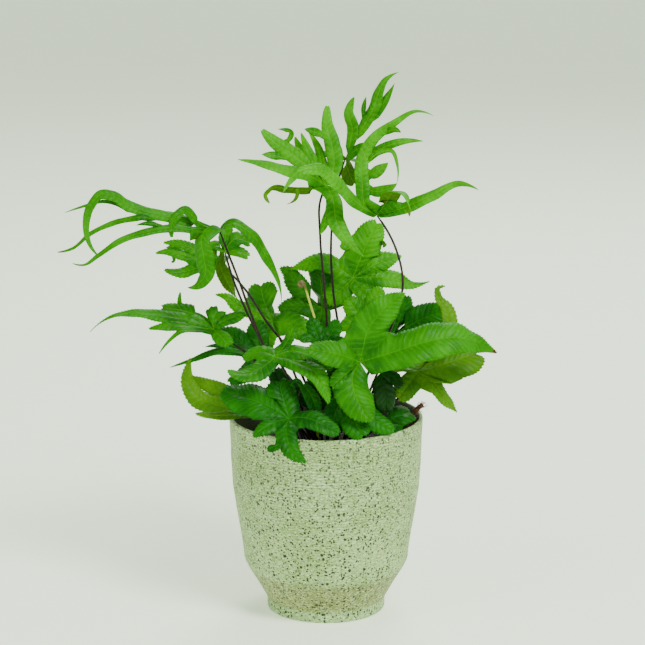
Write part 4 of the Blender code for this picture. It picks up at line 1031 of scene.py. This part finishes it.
def make_leaf_blade(name, leaf):
    tooth = 0.0 if name in SMOOTH_EDGED else TOOTH_HEIGHT
    hub = np.array(stem_set_back(leaf)[-1])
    lobes = [lobe_set_back(shape, leaf["back"]) for shape in leaf["lobes"]]
    sheet = grow_blade(hub, leaf["face"], lobes, tooth)
    finishes = leaf_finishes[tone_of(name)]
    obj = mesh_piece(name + "_leaf", sheet.points, sheet.faces, finishes, sheet.maps)
    thick = obj.modifiers.new("thickness", "SOLIDIFY")
    thick.thickness = LEAF_THICKNESS * MM
    thick.offset = 0.0
    thick.material_offset = 1
    return stands_for(obj, name + "_blade")


# %% Grow them all
faces_grown = 0
for name, leaf in LEAVES.items():
    faces_grown += len(make_leaf_blade(name, leaf).data.polygons)
print(len(LEAVES), "leaves with", faces_grown, "faces")

# %% [markdown]
# ## Stems
# A stem could be a curve with a round bevel, but real ones are not perfectly round or straight.
# Here each is a tube of rings whose radius wavers a little. It thickens where it meets the soil
# and runs right into the base of its leaf.

# %% A tube of rings
def tube(points, radii, around=10):
    """Points and faces of a closed tube along these points."""
    points = np.asarray(points, float)
    tangents = unit(np.gradient(points, axis=0))
    normal = np.cross(tangents[0], (0.31, 0.9, 0.3))
    rings, faces = [], []
    for point, tangent, radius in zip(points, tangents, radii):
        normal = unit(normal - tangent * (normal @ tangent))
        other = np.cross(tangent, normal)
        for turn in np.linspace(0, 2 * math.pi, around, endpoint=False):
            rings.append(point + radius * (math.cos(turn) * normal + math.sin(turn) * other))
    for ring in range(len(points) - 1):
        for n in range(around):
            a, b = ring * around + n, ring * around + (n + 1) % around
            faces.append([a, b, b + around, a + around])
    last = (len(points) - 1) * around
    faces.append(list(range(around))[::-1])
    faces.append([last + n for n in range(around)])
    return rings, faces


def even_points(path, step):
    """Points this far apart on the smooth curve through path."""
    curve = smooth_curve(path)
    lengths = lengths_along(curve)
    return pick(lengths, curve, np.linspace(0, lengths[-1], max(4, round(lengths[-1] / step))))


# %% One stem to each leaf
STEM_RADIUS, STEM_TAPER = 0.98, 0.24


def make_wiry_stem(name, path):
    foot = (*path[0][:2], STEM_START)
    points = even_points([foot, *path[1:]], 2.5)
    shares = np.linspace(0, 1, len(points))
    waver = np.array([noise.noise(Vector(point) * 0.15) for point in points])
    radii = STEM_RADIUS - STEM_TAPER * shares + 0.06 * waver + 0.25 * np.exp(-shares * 18)
    radii[-3:] *= (0.9, 0.75, 0.5)
    points[-1] -= 0.3 * unit(points[-1] - points[-2])
    obj = mesh_piece(name + "_wiry_stem", *tube(points, radii), [stem_finish])
    return stands_for(obj, name + "_stem")


for name, leaf in LEAVES.items():
    make_wiry_stem(name, stem_set_back(leaf))
print(len(LEAVES), "stems")

# %% [markdown]
# ## The rolled young leaf
# A new fern leaf comes up rolled like a watch spring. The tube follows the stem and then winds
# inwards, getting thinner, with a fine coat of brown down at the coil.

# %% Wind the coil
COIL_STEPS = 42
SWELLING = 12  # the first steps of the coil, where the tube gets thicker


def make_rolled_leaf():
    foot = (*CROZIER_STEM[0][:2], STEM_START)
    rise = even_points([foot, *CROZIER_STEM[1:]], 2.5)
    size, coil = 0.72 * CROZIER_COIL, []
    for step in range(1, COIL_STEPS + 1):
        turn = CROZIER_TURNS * 2 * math.pi * step / COIL_STEPS
        radius = size * (1 - 0.62 * step / COIL_STEPS)
        coil.append(rise[-1] + np.array([radius * math.cos(turn) - size, -0.03 * step,
                                         radius * math.sin(turn)]))
    radii = [*np.linspace(0.85, 0.7, len(rise)), *np.linspace(0.85, 1.25, SWELLING),
             *np.linspace(1.25, 0.8, COIL_STEPS - SWELLING)]
    obj = mesh_piece("rolled_young_leaf", *tube([*rise, *coil], radii, 12), [young_finish])
    return stands_for(obj, "crozier")


make_rolled_leaf()

# %% [markdown]
# ## The dry stub
# An old stem has broken off at the rim. It is crooked, splits into a few short ends and carries
# fine pale hairs, so it is one mesh made of a thick tube and many thin ones.

# %% Build the stub and its hairs
SPLIT_ENDS = [(2.6, 0.4, 1.6, 0.55), (0.6, -1.2, 2.8, 0.5), (3.2, 0.8, -0.4, 0.45),
              (-1.4, 0.6, 2.4, 0.4), (1.8, -0.8, 2.6, 0.35)]
HAIRS = 44
STUB_RADIUS = 2.1


def make_dry_husk():
    body = even_points(STUB, 1.0)
    shares = np.linspace(0, 1, len(body))
    knobs = np.array([noise.noise(Vector(point) * 0.7) for point in body])
    points, faces = tube(body, STUB_RADIUS - 0.5 * shares + 0.7 * knobs)

    def add_twig(path, step, thick, thin, around):
        line = even_points(path, step)
        ring, skin = tube(line, np.linspace(thick, thin, len(line)), around)
        faces.extend([number + len(points) for number in face] for face in skin)
        points.extend(ring)

    start, tip = body[-4], body[-1]
    for dx, dy, dz, radius in SPLIT_ENDS:
        path = [start, start + (dx * 0.5, dy, dz * 0.7), tip + (dx, dy, dz)]
        add_twig(path, 0.8, radius, 0.12, 6)
    random = np.random.default_rng(11)
    for _ in range(HAIRS):
        start = body[random.integers(len(body) // 2, len(body))]
        way = unit(random.normal(size=3) + (0.7, -0.2, 0.2)) * random.uniform(2.5, 8)
        add_twig([start, start + way * 0.5 + (0, 0, 0.6), start + way], 1.5, 0.07, 0.07, 4)
    obj = mesh_piece("dry_husk", points, faces, [husk_finish])
    return stands_for(obj, "dry_stub")


make_dry_husk()

# %% [markdown]
# ## The pot
# The pot is thrown on a wheel, so it is a profile turned about the upright axis. The potter's
# fingers leave fine rings on the upper wall. They are real grooves here, not paint, because they
# catch the light. They waver a little on the way round, and fade out above the chamfer.

# %% Turn a profile
def turned_piece(name, profile, steps, offset, material):
    """profile is (radius, height) pairs, with the material on their right.

    offset gives the place of a point from its radius, height, turn and number in the profile.
    """
    points, faces = [], []
    turns = np.linspace(0, 2 * math.pi, steps, endpoint=False)
    for number, (radius, height) in enumerate(profile):
        for turn in turns:
            r, z = offset(radius, height, turn, number)
            points.append((r * math.cos(turn), r * math.sin(turn), z))
    for row in range(len(profile) - 1):
        for n in range(steps):
            a, b = row * steps + n, row * steps + (n + 1) % steps
            faces.append([a, b, b + steps, a + steps])
    for row, centre in ((0, profile[0][1]), (len(profile) - 1, profile[-1][1])):
        points.append((0, 0, centre))
        hub = len(points) - 1
        for n in range(steps):
            a, b = row * steps + n, row * steps + (n + 1) % steps
            faces.append([hub, b, a] if row == 0 else [hub, a, b])
    return mesh_piece(name, points, faces, [material])


def finer(profile, step):
    """The same profile with points this far apart along its straight parts."""
    rows = []
    for (r0, z0), (r1, z1) in zip(profile, profile[1:]):
        count = max(1, round(math.hypot(r1 - r0, z1 - z0) / step))
        rows += [(r0 + (r1 - r0) * n / count, z0 + (z1 - z0) * n / count) for n in range(count)]
    return rows + [profile[-1]]


# %% The pot's profile
OUTSIDE = [(64.1, 134), (64.7, 133.6), (65.0, 132.6), (64.8, 128), (64.4, 120), (64.0, 104),
           (62.9, 86), (60.6, 70), (57.9, 54), (56.2, 42), (55.8, 36.5), (55.2, 34.4),
           (53.6, 31), (47.0, 20), (41.2, 9.6), (40.3, 7.6), (40.0, 6), (40.0, 1.0),
           (39.6, 0.3), (38.8, 0)]
INSIDE = [(1, 7), (36.0, 7), (39.0, 10), (44.0, 20), (51.0, 32), (52.8, 37), (53.2, 42),
          (55.0, 54), (57.7, 70), (59.9, 86), (61.0, 104), (61.6, 120), (62.0, 132.6),
          (62.4, 133.5), (63.0, 134)]
RING_DEPTH = 0.2
RINGS_LOW, RINGS_HIGH = 34, 132.5
inside_profile = finer(INSIDE, 2.5)
profile = inside_profile + finer(OUTSIDE, 0.4) + [(38.0, 0), (1, 0)]


def throwing_rings(radius, height, turn, number):
    """The outside of the wall pushed in and out by the potter's fingers."""
    if number <= len(inside_profile) or not RINGS_LOW <= height <= RINGS_HIGH:
        return radius, height
    share = min(1.0, (height - RINGS_LOW) / 50) * min(1.0, (RINGS_HIGH - height) / 2)
    around = Vector((math.cos(turn), math.sin(turn), height * 0.02))
    wander = 1.1 * noise.noise(around * 2.2)
    strength = 0.55 + 0.6 * noise.noise(around * 1.7 + Vector((5, 2, height * 0.09)))
    groove = math.sin(2 * math.pi * (height + wander) / RING_PITCH)
    return radius + RING_DEPTH * share * max(strength, 0.15) * groove, height


pot = turned_piece("glazed_pot", profile, 220, throwing_rings, glaze)
stands_for(pot, "pot")
print("the pot has", len(pot.data.polygons), "faces")

# %% [markdown]
# ## The soil
# Only a dark hollow shows behind the lip, but from above the soil is seen. It is a disc with a
# lumpy top, a little under the lip, and it stays clear of the wall.

# %% Heap the soil
SOIL_WALL = [(1, 7.5), (35.6, 7.5), (38.5, 10.4), (43.4, 20), (50.4, 32), (52.3, 37),
             (52.8, 42), (54.6, 54), (57.2, 70), (59.4, 86), (60.4, 104), (60.9, 113.4)]
heap = [(r, SOIL_TOP - 1.4 * (r / 61) ** 2) for r in np.arange(2.2, 60.6, 1.3)[::-1]]


def crumbly(radius, height, turn, number):
    """Lumps on the top of the soil only."""
    if number < len(SOIL_WALL):
        return radius, height
    point = Vector((radius * math.cos(turn), radius * math.sin(turn), 3.0))
    lump = noise.noise(point * 0.16) * 1.4 + noise.noise(point * 0.45) * 0.9
    lump += noise.noise(point * 1.1) * 0.4
    return radius, height + lump - 0.9


soil = turned_piece("crumbly_soil", SOIL_WALL + heap + [(0.8, SOIL_TOP)], 150, crumbly,
                    soil_finish)
stands_for(soil, "soil")
print("soil top at", round(max(v.co.z for v in soil.data.vertices) / MM, 1), "mm")

# %% [markdown]
# ## Floor, light and camera
# A plain pale floor that turns up into a wall keeps the eye on the plant. One large soft light
# stands in front on the right and above, a wider weaker one on the left, and one behind makes
# the leaves glow at their edges.

# %% The floor
FLOOR_STEPS = 64
BEND_START, BEND, WALL_TOP = 4000, 1800, 4000


def plain_paper():
    """Pale paper that gives off a little light of its own, like a lit studio wall."""
    finish = Finish("pale_backdrop")
    paper = (0.86, 0.95, 0.78)
    return finish.done(finish.surface(paper, Roughness=0.9, Specular_IOR_Level=0.1,
                                      Emission_Color=(0.90, 1.0, 0.84, 1.0),
                                      Emission_Strength=0.36))


def make_backdrop():
    """A round floor that bends up into a low wall on every side."""
    bends = np.linspace(0, math.pi / 2, 16)
    line = [(400, 0), (1500, 0), (3000, 0)]
    line += [(BEND_START + BEND * math.sin(a), BEND - BEND * math.cos(a)) for a in bends]
    line.append((BEND_START + BEND, WALL_TOP))
    turns = np.linspace(0, 2 * math.pi, FLOOR_STEPS, endpoint=False)
    points = [(r * math.cos(t), r * math.sin(t), z) for r, z in line for t in turns]
    faces = [list(range(FLOOR_STEPS))]
    for row in range(0, FLOOR_STEPS * (len(line) - 1), FLOOR_STEPS):
        for n in range(FLOOR_STEPS):
            a, b = row + n, row + (n + 1) % FLOOR_STEPS
            faces.append([a, a + FLOOR_STEPS, b + FLOOR_STEPS, b])
    mesh_piece("paper_floor", points, faces, [plain_paper()])


make_backdrop()


# %% The lights
def soft_light(name, place, target, width, power, colour=(1, 1, 1)):
    lamp = bpy.data.lights.new(name, "AREA")
    lamp.shape = "DISK"
    lamp.size = width
    lamp.energy = power
    lamp.color = colour
    obj = bpy.data.objects.new(name, lamp)
    obj.location = place
    way = Vector(target) - Vector(place)
    obj.rotation_euler = way.to_track_quat("-Z", "Y").to_euler()
    bpy.context.scene.collection.objects.link(obj)


soft_light("window", (0.9, -1.2, 1.8), (0, 0, 0.18), 0.8, 60)
soft_light("bounce", (-1.6, -1.0, 0.9), (0, 0, 0.15), 1.6, 16, (1.0, 0.98, 0.92))
soft_light("behind", (0.3, 1.3, 1.5), (0, 0, 0.25), 1.0, 24)
world = bpy.data.worlds.new("soft_room")
world.use_nodes = True
world.node_tree.nodes["Background"].inputs["Color"].default_value = (0.95, 1.0, 0.93, 1)
world.node_tree.nodes["Background"].inputs["Strength"].default_value = 0.5
bpy.context.scene.world = world

# %% The camera
camera = bpy.data.cameras.new("camera")
camera.lens = 139.8
camera.sensor_width = 36
camera_object = bpy.data.objects.new("camera", camera)
camera_object.location = Vector(EYE) * MM
way = Vector((EYE[0], 0, 197.7)) * MM - camera_object.location
camera_object.rotation_euler = way.to_track_quat("-Z", "Y").to_euler()
bpy.context.scene.collection.objects.link(camera_object)
bpy.context.scene.camera = camera_object
